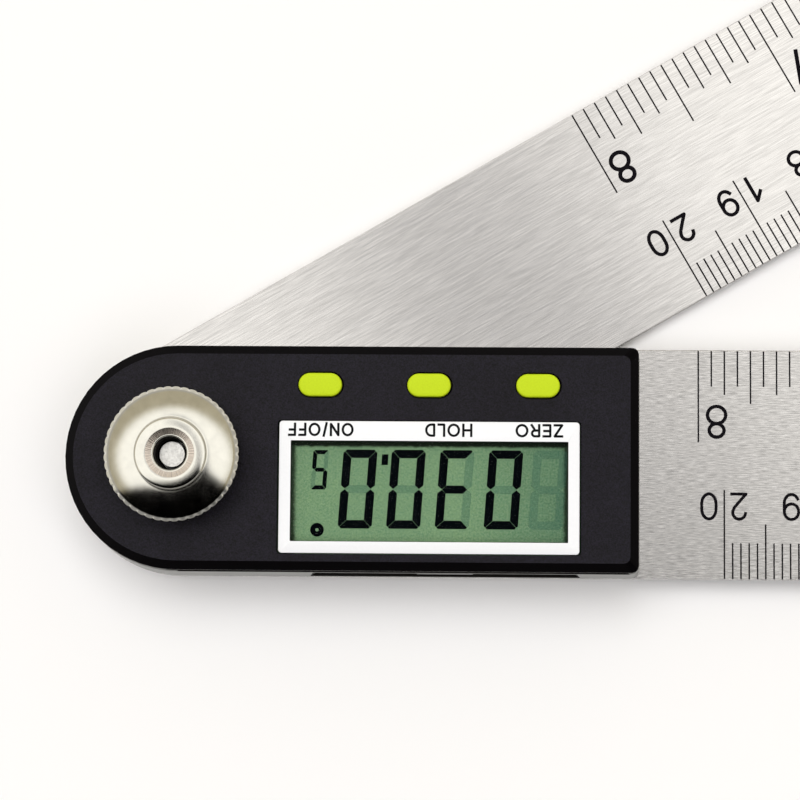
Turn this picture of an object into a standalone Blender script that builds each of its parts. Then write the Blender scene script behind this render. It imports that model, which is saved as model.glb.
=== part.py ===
"""Digital angle finder: two steel rules on one pivot, with a read-out housing on the upper rule.

The origin is on the pivot axis, in the plane the tool lies on. +Z is up and the upper rule
lies along +X. The lower rule is swung open by ARM_ANGLE.
"""
import math

import bmesh
import bpy

MM = 0.001

# Fits and cuts shared by all pieces
SEAT_GAP = 0.1 * MM
RUNNING_CLEARANCE = 0.08 * MM
SLIDE_CLEARANCE = 0.2 * MM
LOOSE_CLEARANCE = 0.3 * MM
CUT_OVERRUN = 1.0 * MM

# Facets
ROUND_SEGMENTS = 40
SMALL_SEGMENTS = 16
END_STEPS = 30
CORNER_STEPS = 3
TOOTH_SEGMENTS = 2
SMOOTH_ANGLE = math.radians(32.0)

# Rules
RULE_REACH = 265.8 * MM
RULE_WIDTH = 28.0 * MM
RULE_THICKNESS = 1.5 * MM
RULE_CORNER = 0.6 * MM
RULE_EDGE_BEVEL = 0.12 * MM
RULE_SPACING = 0.7 * MM
ARM_ANGLE = math.radians(30.05)

# Pivot post and the pieces stacked on it
FOOT_RADIUS = 5.9 * MM
FOOT_THICKNESS = 0.6 * MM
FOOT_SHANK_RADIUS = 1.15 * MM
FOOT_SHANK_LENGTH = 4.2 * MM
FOOT_HOLE_RADIUS = 0.6 * MM
FOOT_HOLE_DEPTH = 0.35 * MM
FOOT_HOLE_PITCH_RADIUS = 3.6 * MM
NECK_RADIUS = 3.0 * MM
BEARING_RADIUS = 4.0 * MM
BEARING_LIP = 0.3 * MM
GROOVE_DEPTH = 0.6 * MM
HUB_SEAT_RADIUS = 3.1 * MM
STUD_RADIUS = 1.46 * MM
STUD_CHAMFER = 0.25 * MM
WASHER_RADIUS = 9.0 * MM
WAVE_SPACE = 1.3 * MM
WAVE_RADIUS = 7.0 * MM
WAVE_THICKNESS = 0.25 * MM
WAVE_RISE = 0.35 * MM
WAVE_COUNT = 3
CLIP_THICKNESS = 0.55 * MM
CLIP_GAP = 0.05 * MM
CLIP_RADIUS = 5.4 * MM
CLIP_OPENING = math.radians(80.0)
HUB_RADIUS = 5.2 * MM
ROTOR_THICKNESS = 0.8 * MM
ROTOR_GAP = 0.3 * MM
ROTOR_WALL_CLEARANCE = 1.8 * MM
BUSHING_RADIUS = 3.0 * MM

# Housing shell and cover
COVER_INSET = 0.62 * MM
COVER_WALL = 1.1 * MM
COVER_HEIGHT = 3.25 * MM
COVER_ROOF = 1.2 * MM
COVER_BEVEL_WIDTH = 1.05 * MM
COVER_BEVEL_HEIGHT = 1.0 * MM
COVER_CORNER = 0.8 * MM
SHELL_FLOOR = 0.7 * MM
SHELL_LEDGE = 0.17 * MM
SHELL_DRAFT = 0.4 * MM
SHELL_LIP = 0.55 * MM
SHELL_TOP_BEVEL = 0.12 * MM
SHELL_CORNER = 1.1 * MM
HOUSING_END_MARGIN = 6.97 * MM

# Display, measured on the housing's top face
DISPLAY_X = 30.1 * MM
BEZEL_LENGTH = 35.87 * MM
BEZEL_EDGE_MARGIN = 0.98 * MM
BEZEL_RISE = 0.05 * MM
BEZEL_SIDE_BAND = 1.55 * MM
BEZEL_LABEL_BAND = 2.56 * MM
BEZEL_CORNER = 0.45 * MM
WINDOW_CORNER = 0.2 * MM
LENS_THICKNESS = 0.5 * MM
LCD_THICKNESS = 1.05 * MM
LCD_MARGIN = 0.55 * MM
LCD_CORNER = 0.4 * MM
STRIP_WIDTH = 1.5 * MM
STRIP_INSET = 0.5 * MM
STRIP_CORNER = 0.3 * MM

# Push buttons
BUTTON_NAMES = ("on_off", "hold", "zero")
BUTTON_PITCH = 12.95 * MM
BUTTON_LENGTH = 5.33 * MM
BUTTON_WIDTH = 2.92 * MM
BUTTON_EDGE_MARGIN = 2.2 * MM
BUTTON_TO_BEZEL = 2.84 * MM
BUTTON_RISE = 0.3 * MM
BUTTON_ROUNDING = 0.3 * MM
BUTTON_SIDE_GAP = 0.12 * MM
BUTTON_FLANGE = 0.65 * MM
BUTTON_FLANGE_THICKNESS = 0.5 * MM
BUTTON_TRAVEL = 0.45 * MM
PLUNGER_RADIUS = 0.9 * MM
DOME_RADIUS = 2.0 * MM
DOME_HEIGHT = 0.3 * MM
DOME_EDGE = 0.12 * MM

# Circuit board
BOARD_THICKNESS = 0.6 * MM
BOARD_EDGE_GAP = 0.3 * MM
CHIP_LENGTH = 5.0 * MM
CHIP_THICKNESS = 0.9 * MM
CHIP_CORNER = 0.2 * MM

# Battery drawer, contacts and cell
CELL_THICKNESS = 3.2 * MM
CELL_WALL_MARGIN = 2.28 * MM
CELL_CAP_STEP = 0.3 * MM
CELL_CAP_INSET = 1.2 * MM
CELL_EDGE = 0.25 * MM
DRAWER_OFFSET = 1.9 * MM
DRAWER_FLOOR = 0.6 * MM
DRAWER_RING_WALL = 1.1 * MM
DRAWER_FRONT_WALL = 2.85 * MM
DRAWER_FRONT_INSET = 0.15 * MM
DRAWER_BLOCK_WIDTH = 15.85 * MM
DRAWER_TAB_WIDTH = 6.7 * MM
DRAWER_TAB_STEP = 0.25 * MM
DRAWER_SLIT = 1.45 * MM
DRAWER_ARM_FRONT = 3.5 * MM
DRAWER_ARM_WIDTH = 1.3 * MM
DRAWER_ARM_TIP_DEPTH = 1.5 * MM
DRAWER_ARM_ROOT = 2.0 * MM
DRAWER_ARM_BRIDGE = 2.2 * MM
DRAWER_NOTCH_WIDTH = 5.0 * MM
SLOT_SCOOP_WIDTH = 2.55 * MM
RAIL_WIDTH = 1.0 * MM
RAIL_LENGTH = 18.0 * MM
RAIL_DROP = 0.6 * MM
RIM_CONTACT_WIDTH = 3.6 * MM
RIM_CONTACT_WALL_GAP = 0.73 * MM
LEAF_THICKNESS = 0.15 * MM
LEAF_LENGTH = 7.0 * MM
LEAF_WIDTH = 3.0 * MM
LEAF_CORNER = 0.3 * MM

# Housing screws
SCREW_SHANK_RADIUS = 0.9 * MM
SCREW_HEAD_RADIUS = 1.9 * MM
SCREW_HEAD_SINK = 0.05 * MM
SCREW_SOCKET_RADIUS = 0.75 * MM
SCREW_SOCKET_DEPTH = 0.45 * MM
SCREW_TIP_GAP = 0.5 * MM
SCREW_WALL_MARGIN = 0.8 * MM
SHELL_BOSS_RADIUS = 1.8 * MM
COVER_BOSS_RADIUS = 1.6 * MM

# Clamp washer and lock knob
CLAMP_WASHER_THICKNESS = 0.3 * MM
CLAMP_WASHER_RADIUS = 5.6 * MM
KNOB_HEIGHT = 6.3 * MM
KNOB_RADIUS = 7.95 * MM
KNOB_RIM_TOP = 1.4 * MM
KNOB_RIM_BEVEL = 0.3 * MM
KNOB_FOOT_BEVEL = 0.5 * MM
KNOB_TEETH = 48
KNURL_DEPTH = 0.22 * MM
KNOB_BOSS_RADIUS = 4.3 * MM
KNOB_BOSS_HEIGHT = 0.75 * MM
KNOB_BOSS_ROUNDING = 0.45 * MM
KNOB_DISH_RADIUS = 3.07 * MM
KNOB_DISH_DEPTH = 0.25 * MM
KNOB_LIP_RADIUS = 2.19 * MM
KNOB_MOUTH_RADIUS = 1.93 * MM
KNOB_MOUTH_DEPTH = 3.1 * MM
KNOB_ROOT_RADIUS = 6.6 * MM
STUD_RECESS = 2.75 * MM

# Heights, worked up from the plane the tool lies on
LOWER_TOP = RULE_THICKNESS
UPPER_BOTTOM = LOWER_TOP + RULE_SPACING
UPPER_TOP = UPPER_BOTTOM + RULE_THICKNESS
SHELL_BOTTOM = UPPER_TOP + SEAT_GAP
FLOOR_TOP = SHELL_BOTTOM + SHELL_FLOOR
DRAWER_BOTTOM = FLOOR_TOP + SLIDE_CLEARANCE
TRAY_TOP = DRAWER_BOTTOM + DRAWER_FLOOR
CELL_BOTTOM = TRAY_TOP + SEAT_GAP
CELL_TOP = CELL_BOTTOM + CELL_THICKNESS
SLOT_TOP = CELL_TOP + SLIDE_CLEARANCE
SHELL_TOP = SLOT_TOP + SHELL_LIP
LEAF_BOTTOM = CELL_TOP + SEAT_GAP
BOARD_BOTTOM = LEAF_BOTTOM + LEAF_THICKNESS + SEAT_GAP
BOARD_TOP = BOARD_BOTTOM + BOARD_THICKNESS
COVER_BOTTOM = SHELL_TOP + SEAT_GAP
COVER_TOP = COVER_BOTTOM + COVER_HEIGHT
ROOF_BOTTOM = COVER_TOP - COVER_ROOF
LCD_TOP = ROOF_BOTTOM - SEAT_GAP
LCD_BOTTOM = LCD_TOP - LCD_THICKNESS
LENS_BOTTOM = LCD_TOP + SEAT_GAP
LENS_TOP = LENS_BOTTOM + LENS_THICKNESS
BEZEL_BOTTOM = LENS_TOP + SEAT_GAP
BEZEL_TOP = COVER_TOP + BEZEL_RISE
GROOVE_BOTTOM = UPPER_TOP + WAVE_SPACE
GROOVE_TOP = GROOVE_BOTTOM + CLIP_THICKNESS + 2 * CLIP_GAP
BEARING_TOP = GROOVE_TOP + BEARING_LIP
ROTOR_TOP = BOARD_BOTTOM - ROTOR_GAP
ROTOR_BOTTOM = ROTOR_TOP - ROTOR_THICKNESS
CLAMP_WASHER_BOTTOM = COVER_TOP + SEAT_GAP
KNOB_BOTTOM = CLAMP_WASHER_BOTTOM + CLAMP_WASHER_THICKNESS + SEAT_GAP
KNOB_TOP = KNOB_BOTTOM + KNOB_HEIGHT
STUD_TOP = KNOB_TOP - STUD_RECESS

# Plan sizes that follow from the ones above
COVER_HALF = RULE_WIDTH / 2 - COVER_INSET
FACE_HALF = COVER_HALF - COVER_BEVEL_WIDTH
CAVITY_HALF = COVER_HALF - COVER_WALL
SHELL_TOP_HALF = COVER_HALF + SHELL_LEDGE
SHELL_BOTTOM_HALF = SHELL_TOP_HALF + SHELL_DRAFT
ROTOR_RADIUS = CAVITY_HALF - ROTOR_WALL_CLEARANCE
BUTTON_Y = FACE_HALF - BUTTON_EDGE_MARGIN - BUTTON_WIDTH / 2
BEZEL_HIGH_Y = BUTTON_Y - BUTTON_WIDTH / 2 - BUTTON_TO_BEZEL
BEZEL_LOW_Y = BEZEL_EDGE_MARGIN - FACE_HALF
BEZEL_LEFT = DISPLAY_X - BEZEL_LENGTH / 2
BEZEL_RIGHT = DISPLAY_X + BEZEL_LENGTH / 2
LCD_LEFT = BEZEL_LEFT - LCD_MARGIN
LCD_RIGHT = BEZEL_RIGHT + LCD_MARGIN
HOUSING_REACH = BEZEL_RIGHT + HOUSING_END_MARGIN
BUTTON_LEFT_X = DISPLAY_X - (len(BUTTON_NAMES) - 1) / 2 * BUTTON_PITCH
BUTTON_XS = [BUTTON_LEFT_X + i * BUTTON_PITCH for i in range(len(BUTTON_NAMES))]
CELL_RADIUS = CAVITY_HALF - CELL_WALL_MARGIN
DRAWER_X = DISPLAY_X + DRAWER_OFFSET
DRAWER_FRONT_DEPTH = CELL_RADIUS + DRAWER_FRONT_WALL
DRAWER_FRONT_Y = DRAWER_FRONT_INSET - SHELL_TOP_HALF - SHELL_DRAFT / 2
CELL_Y = DRAWER_FRONT_Y + DRAWER_FRONT_DEPTH
POCKET_RADIUS = CELL_RADIUS + SLIDE_CLEARANCE
RING_RADIUS = POCKET_RADIUS + DRAWER_RING_WALL
ARM_FRONT_INNER = DRAWER_BLOCK_WIDTH / 2 + DRAWER_SLIT
ARM_FRONT_OUTER = ARM_FRONT_INNER + DRAWER_ARM_FRONT
ARM_OUTER = max(ARM_FRONT_OUTER, RING_RADIUS + LOOSE_CLEARANCE + DRAWER_ARM_WIDTH)
SLOT_HALF = ARM_OUTER + LOOSE_CLEARANCE
SLOT_REACH = SLOT_HALF + RAIL_WIDTH + LOOSE_CLEARANCE + SHELL_BOSS_RADIUS
LCD_REACH = LOOSE_CLEARANCE + COVER_BOSS_RADIUS
SCREW_Y = CAVITY_HALF - SCREW_WALL_MARGIN - COVER_BOSS_RADIUS
SCREW_LEFT_X = min(LCD_LEFT - LCD_REACH, DRAWER_X - SLOT_REACH)
SCREW_RIGHT_X = max(LCD_RIGHT + LCD_REACH, DRAWER_X + SLOT_REACH)
SCREW_PLACES = [(x, y) for x in (SCREW_LEFT_X, SCREW_RIGHT_X) for y in (-SCREW_Y, SCREW_Y)]

# Colours, roughness and metallic value of each material
FINISHES = {
    "brushed_steel": ((0.60, 0.58, 0.56), 0.38, 1.0),
    "silver_shell": ((0.42, 0.42, 0.41), 0.40, 0.9),
    "black_cover": ((0.020, 0.018, 0.021), 0.55, 0.0),
    "white_bezel": ((0.88, 0.88, 0.90), 0.35, 0.0),
    "clear_lens": ((0.90, 0.94, 0.92), 0.08, 0.0),
    "lcd_glass": ((0.18, 0.31, 0.15), 0.20, 0.0),
    "lime_rubber": ((0.58, 0.76, 0.02), 0.50, 0.0),
    "bright_nickel": ((0.72, 0.70, 0.62), 0.12, 1.0),
    "turned_steel": ((0.62, 0.61, 0.60), 0.30, 1.0),
    "spring_steel": ((0.45, 0.45, 0.44), 0.30, 1.0),
    "nylon": ((0.80, 0.80, 0.77), 0.45, 0.0),
    "brass": ((0.72, 0.52, 0.22), 0.28, 1.0),
    "board_green": ((0.03, 0.17, 0.08), 0.40, 0.0),
    "grey_elastomer": ((0.25, 0.25, 0.26), 0.60, 0.0),
    "black_epoxy": ((0.015, 0.015, 0.016), 0.45, 0.0),
    "grey_tray": ((0.17, 0.17, 0.17), 0.45, 0.0),
    "cell_steel": ((0.66, 0.66, 0.65), 0.25, 1.0),
}


def clear_scene():
    for thing in list(bpy.data.objects):
        bpy.data.objects.remove(thing, do_unlink=True)


def finish_material(name):
    """The named Principled material, made once."""
    known = bpy.data.materials.get(name)
    if known:
        return known
    colour, roughness, metallic = FINISHES[name]
    made = bpy.data.materials.new(name)
    made.use_nodes = True
    shader = made.node_tree.nodes["Principled BSDF"]
    shader.inputs["Base Color"].default_value = (*colour, 1.0)
    shader.inputs["Roughness"].default_value = roughness
    shader.inputs["Metallic"].default_value = metallic
    return made


def axis_empty(name, location=(0.0, 0.0, 0.0), turn=0.0):
    """An empty on a joint's axis, for the moving pieces to hang from."""
    empty = bpy.data.objects.new(name, None)
    empty.location = location
    empty.rotation_euler = (0.0, 0.0, turn)
    bpy.context.collection.objects.link(empty)
    return empty


def mesh_object(name, bm):
    bmesh.ops.recalc_face_normals(bm, faces=bm.faces)
    mesh = bpy.data.meshes.new(name)
    bm.to_mesh(mesh)
    bm.free()
    mesh.shade_smooth()
    mesh.set_sharp_from_angle(angle=SMOOTH_ANGLE)
    made = bpy.data.objects.new(name, mesh)
    bpy.context.collection.objects.link(made)
    return made


def piece(name, bm, finish, parent=None):
    """A sub-part with its own mesh and material."""
    made = mesh_object(name, bm)
    made.data.materials.append(finish_material(finish))
    made.parent = parent
    return made


def combine(target, name, bm, operation):
    """Cut the solids in bm from the target, or join them to it."""
    tool = mesh_object(name, bm)
    tool.hide_render = True
    tool.display_type = "WIRE"
    tool.parent = target.parent
    modifier = target.modifiers.new(name, "BOOLEAN")
    modifier.operation = operation
    modifier.solver = "EXACT"
    modifier.object = tool


def cut(target, name, bm):
    combine(target, name, bm, "DIFFERENCE")


def join(target, name, bm):
    combine(target, name, bm, "UNION")


def arc(x, y, radius, start, end, steps):
    """Points along an arc about (x, y), both ends included; angles in degrees."""
    turns = [math.radians(start + (end - start) * i / steps) for i in range(steps + 1)]
    return [(x + radius * math.cos(t), y + radius * math.sin(t)) for t in turns]


def bar_outline(half, reach, corner):
    """A bar with a round end about the pivot and a square end with small corners."""
    points = arc(reach - corner, corner - half, corner, -90, 0, CORNER_STEPS)
    points += arc(reach - corner, half - corner, corner, 0, 90, CORNER_STEPS)
    return points + arc(0.0, 0.0, half, 90, 270, END_STEPS)


def box_outline(left, right, low, high, corner):
    """A rectangle with rounded corners."""
    points = []
    for x, y, start in (
        (right - corner, low + corner, -90),
        (right - corner, high - corner, 0),
        (left + corner, high - corner, 90),
        (left + corner, low + corner, 180),
    ):
        points += arc(x, y, corner, start, start + 90, CORNER_STEPS)
    return points


def stadium_outline(x, y, length, width):
    """A slot shape with two half-round ends, along X."""
    run = (length - width) / 2
    half_steps = SMALL_SEGMENTS // 2
    points = arc(x + run, y, width / 2, -90, 90, half_steps)
    return points + arc(x - run, y, width / 2, 90, 270, half_steps)


def stacked(bm, levels):
    """A closed solid through outlines of equal point count, from the lowest level up."""
    rings = [[bm.verts.new((x, y, z)) for x, y in outline] for outline, z in levels]
    for lower, upper in zip(rings, rings[1:]):
        for i, start in enumerate(lower):
            j = (i + 1) % len(lower)
            bm.faces.new((start, lower[j], upper[j], upper[i]))
    bm.faces.new(list(reversed(rings[0])))
    bm.faces.new(rings[-1])


def prism(bm, outline, low, high):
    stacked(bm, [(outline, low), (outline, high)])


def frame(bm, outer, inner, low, high):
    """A flat frame between two outlines of equal point count."""
    loops = [[bm.verts.new((x, y, z)) for x, y in outline]
             for outline, z in ((outer, low), (outer, high), (inner, high), (inner, low))]
    for a, b in zip(loops, loops[1:] + loops[:1]):
        for i, start in enumerate(a):
            j = (i + 1) % len(a)
            bm.faces.new((start, a[j], b[j], b[i]))


def turned(bm, profile, place=(0.0, 0.0), segments=ROUND_SEGMENTS):
    """A solid of revolution about +Z through (radius, height, notch depth) points.

    The first vertex of each tooth of a notched ring is drawn in by the notch depth. A profile
    that does not end on the axis closes on itself, as a ring.
    """
    rings = []
    for radius, height, *notch in profile:
        if radius == 0.0:
            rings.append([bm.verts.new((place[0], place[1], height))])
            continue
        ring = []
        for i in range(segments):
            depth = notch[0] if notch and i % TOOTH_SEGMENTS == 0 else 0.0
            turn = 2 * math.pi * i / segments
            x = place[0] + (radius - depth) * math.cos(turn)
            y = place[1] + (radius - depth) * math.sin(turn)
            ring.append(bm.verts.new((x, y, height)))
        rings.append(ring)
    pairs = list(zip(rings, rings[1:]))
    if len(rings[0]) > 1:
        pairs.append((rings[-1], rings[0]))
    for a, b in pairs:
        for i in range(segments):
            j = (i + 1) % segments
            corners = (a[i % len(a)], a[j % len(a)], b[j % len(b)], b[i % len(b)])
            bm.faces.new(list(dict.fromkeys(corners)))


def rod(bm, radius, low, high, place=(0.0, 0.0), segments=SMALL_SEGMENTS):
    turned(bm, [(0.0, low), (radius, low), (radius, high), (0.0, high)], place, segments)


def washer(bm, inner, outer, low, high):
    turned(bm, [(inner, low), (outer, low), (outer, high), (inner, high)])


def swept_band(bm, inner, outer, low, high, opening=0.0, rise=0.0, waves=0):
    """A flat ring, split when it has an opening and wavy when it has a rise."""
    steps = ROUND_SEGMENTS
    span = 2 * math.pi - opening
    count = steps + 1 if opening else steps
    sections = []
    for i in range(count):
        turn = opening / 2 + span * i / steps
        lift = rise * math.cos(waves * turn)
        corners = ((inner, low), (outer, low), (outer, high), (inner, high))
        sections.append([bm.verts.new((r * math.cos(turn), r * math.sin(turn), z + lift))
                         for r, z in corners])
    followers = sections[1:] if opening else sections[1:] + sections[:1]
    for a, b in zip(sections, followers):
        for i, start in enumerate(a):
            j = (i + 1) % len(a)
            bm.faces.new((start, b[i], b[j], a[j]))
    if opening:
        bm.faces.new(sections[0])
        bm.faces.new(list(reversed(sections[-1])))


def rule_levels(low):
    """A rule's outline at its four levels, with a fine bevel on both faces."""
    full = bar_outline(RULE_WIDTH / 2, RULE_REACH, RULE_CORNER)
    bevel = RULE_EDGE_BEVEL
    drawn_in = bar_outline(RULE_WIDTH / 2 - bevel, RULE_REACH - bevel, RULE_CORNER)
    high = low + RULE_THICKNESS
    return [(drawn_in, low), (full, low + bevel), (full, high - bevel), (drawn_in, high)]


def lower_rule(arm):
    bm = bmesh.new()
    stacked(bm, rule_levels(0.0))
    rule = piece("lower_rule", bm, "brushed_steel", arm)
    bm = bmesh.new()
    sink = FOOT_THICKNESS + SEAT_GAP
    turned(bm, [
        (0.0, -CUT_OVERRUN),
        (FOOT_RADIUS + SEAT_GAP, -CUT_OVERRUN),
        (FOOT_RADIUS + SEAT_GAP, sink),
        (NECK_RADIUS + SEAT_GAP, sink),
        (NECK_RADIUS + SEAT_GAP, LOWER_TOP + CUT_OVERRUN),
        (0.0, LOWER_TOP + CUT_OVERRUN),
    ])
    cut(rule, "lower_rule_pivot_hole", bm)


def upper_rule():
    bm = bmesh.new()
    stacked(bm, rule_levels(UPPER_BOTTOM))
    rule = piece("upper_rule", bm, "brushed_steel")
    bm = bmesh.new()
    rod(bm, BEARING_RADIUS + RUNNING_CLEARANCE, UPPER_BOTTOM - CUT_OVERRUN, UPPER_TOP + CUT_OVERRUN,
        segments=ROUND_SEGMENTS)
    for place in SCREW_PLACES:
        countersink(bm, place)
    cut(rule, "upper_rule_holes", bm)


def countersink(bm, place):
    """The hole for a flat-headed screw that enters from below."""
    wide = SCREW_HEAD_RADIUS + SEAT_GAP
    narrow = SCREW_SHANK_RADIUS + SEAT_GAP
    taper_top = UPPER_BOTTOM + wide - narrow
    turned(bm, [
        (0.0, UPPER_BOTTOM - CUT_OVERRUN),
        (wide, UPPER_BOTTOM - CUT_OVERRUN),
        (wide, UPPER_BOTTOM),
        (narrow, taper_top),
        (narrow, UPPER_TOP + CUT_OVERRUN),
        (0.0, UPPER_TOP + CUT_OVERRUN),
    ], place, SMALL_SEGMENTS)


def pivot_foot(arm):
    """Flush disc in the lower rule, with two spanner holes and a shank up into the post."""
    bm = bmesh.new()
    turned(bm, [
        (0.0, 0.0),
        (FOOT_RADIUS, 0.0),
        (FOOT_RADIUS, FOOT_THICKNESS),
        (FOOT_SHANK_RADIUS, FOOT_THICKNESS),
        (FOOT_SHANK_RADIUS, FOOT_THICKNESS + FOOT_SHANK_LENGTH),
        (0.0, FOOT_THICKNESS + FOOT_SHANK_LENGTH),
    ])
    foot = piece("pivot_foot", bm, "turned_steel", arm)
    bm = bmesh.new()
    for side in (-1, 1):
        rod(bm, FOOT_HOLE_RADIUS, -CUT_OVERRUN, FOOT_HOLE_DEPTH, (side * FOOT_HOLE_PITCH_RADIUS, 0.0))
    cut(foot, "pivot_foot_spanner_holes", bm)


def pivot_post(arm):
    """Neck in the lower rule, bearing in the upper one, clip groove, hub seat and threaded stud."""
    bore = FOOT_SHANK_RADIUS + SEAT_GAP
    neck_bottom = FOOT_THICKNESS + SEAT_GAP
    shoulder = LOWER_TOP + SEAT_GAP
    groove_radius = BEARING_RADIUS - GROOVE_DEPTH
    bore_top = FOOT_THICKNESS + FOOT_SHANK_LENGTH + SEAT_GAP
    bm = bmesh.new()
    turned(bm, [
        (0.0, bore_top),
        (bore, bore_top),
        (bore, neck_bottom),
        (NECK_RADIUS, neck_bottom),
        (NECK_RADIUS, shoulder),
        (BEARING_RADIUS, shoulder),
        (BEARING_RADIUS, GROOVE_BOTTOM),
        (groove_radius, GROOVE_BOTTOM),
        (groove_radius, GROOVE_TOP),
        (BEARING_RADIUS, GROOVE_TOP),
        (BEARING_RADIUS, BEARING_TOP),
        (HUB_SEAT_RADIUS, BEARING_TOP),
        (HUB_SEAT_RADIUS, ROTOR_TOP),
        (STUD_RADIUS, ROTOR_TOP),
        (STUD_RADIUS, STUD_TOP - STUD_CHAMFER),
        (STUD_RADIUS - STUD_CHAMFER, STUD_TOP),
        (0.0, STUD_TOP),
    ])
    piece("pivot_post", bm, "turned_steel", arm)


def pivot_stack(arm):
    """Washer between the rules, wave spring, retaining clip, and the encoder's hub and rotor."""
    bm = bmesh.new()
    ring_radius = BEARING_RADIUS + SLIDE_CLEARANCE
    washer(bm, ring_radius, WASHER_RADIUS, LOWER_TOP + SEAT_GAP, UPPER_BOTTOM - SEAT_GAP)
    piece("spacer_washer", bm, "nylon", arm)

    wave_middle = UPPER_TOP + WAVE_SPACE / 2
    bm = bmesh.new()
    swept_band(bm, ring_radius, WAVE_RADIUS, wave_middle - WAVE_THICKNESS / 2,
               wave_middle + WAVE_THICKNESS / 2, rise=WAVE_RISE, waves=WAVE_COUNT)
    piece("wave_washer", bm, "spring_steel", arm)

    clip_bottom = GROOVE_BOTTOM + CLIP_GAP
    bm = bmesh.new()
    swept_band(bm, BEARING_RADIUS - GROOVE_DEPTH + SEAT_GAP, CLIP_RADIUS, clip_bottom,
               clip_bottom + CLIP_THICKNESS, opening=CLIP_OPENING)
    piece("retaining_clip", bm, "spring_steel", arm)

    bore = HUB_SEAT_RADIUS + RUNNING_CLEARANCE
    bm = bmesh.new()
    washer(bm, bore, HUB_RADIUS, BEARING_TOP + CLIP_GAP, ROTOR_BOTTOM - CLIP_GAP)
    piece("rotor_hub", bm, "nylon", arm)

    bm = bmesh.new()
    washer(bm, bore, ROTOR_RADIUS, ROTOR_BOTTOM, ROTOR_TOP)
    piece("encoder_rotor", bm, "board_green", arm)


def shell_outline(half, draw=0.0):
    """The housing's outline; draw is how far this level stands out from the cover."""
    return bar_outline(half, HOUSING_REACH + draw, SHELL_CORNER)


def cavity_outline():
    return bar_outline(CAVITY_HALF, HOUSING_REACH - COVER_WALL, COVER_CORNER)


def lower_shell():
    """Grey tray of the housing: floor, drafted walls, screw bosses, drawer rails and drawer slot."""
    top_draw = SHELL_LEDGE
    foot_draw = SHELL_LEDGE + SHELL_DRAFT
    bevel = SHELL_TOP_BEVEL
    bm = bmesh.new()
    stacked(bm, [
        (shell_outline(SHELL_BOTTOM_HALF, foot_draw), SHELL_BOTTOM),
        (shell_outline(SHELL_TOP_HALF, top_draw), SHELL_TOP - bevel),
        (shell_outline(SHELL_TOP_HALF - bevel, top_draw - bevel), SHELL_TOP),
    ])
    shell = piece("lower_shell", bm, "silver_shell")

    bm = bmesh.new()
    prism(bm, cavity_outline(), FLOOR_TOP, SHELL_TOP + CUT_OVERRUN)
    cut(shell, "lower_shell_cavity", bm)

    inside_floor = SHELL_BOTTOM + SHELL_FLOOR / 2
    bm = bmesh.new()
    for place in SCREW_PLACES:
        rod(bm, SHELL_BOSS_RADIUS, inside_floor, BOARD_BOTTOM - SEAT_GAP, place)
    for side in (-1, 1):
        near = DRAWER_X + side * SLOT_HALF
        far = near + side * RAIL_WIDTH
        front = LOOSE_CLEARANCE - CAVITY_HALF
        outline = box_outline(min(near, far), max(near, far), front, front + RAIL_LENGTH, LEAF_CORNER)
        prism(bm, outline, inside_floor, CELL_TOP - RAIL_DROP)
    join(shell, "lower_shell_bosses", bm)

    bm = bmesh.new()
    rod(bm, WAVE_RADIUS + LOOSE_CLEARANCE, SHELL_BOTTOM - CUT_OVERRUN, FLOOR_TOP + CUT_OVERRUN,
        segments=ROUND_SEGMENTS)
    for place in SCREW_PLACES:
        rod(bm, SCREW_SHANK_RADIUS + SEAT_GAP, SHELL_BOTTOM - CUT_OVERRUN, BOARD_BOTTOM + CUT_OVERRUN, place)
    cut(shell, "lower_shell_holes", bm)

    bm = bmesh.new()
    prism(bm, slot_outline(), FLOOR_TOP, SLOT_TOP)
    cut(shell, "lower_shell_drawer_slot", bm)


def slot_outline():
    """The drawer's slot through the -Y wall, with a slanted finger scoop at each end."""
    inner_y = SLIDE_CLEARANCE - CAVITY_HALF
    wall_y = -SHELL_TOP_HALF
    outer_y = -SHELL_BOTTOM_HALF - CUT_OVERRUN
    slope = SLOT_SCOOP_WIDTH / (inner_y - wall_y)
    wide = SLOT_HALF + slope * (inner_y - outer_y)
    return [
        (DRAWER_X - wide, outer_y),
        (DRAWER_X + wide, outer_y),
        (DRAWER_X + SLOT_HALF, inner_y),
        (DRAWER_X - SLOT_HALF, inner_y),
    ]


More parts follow.
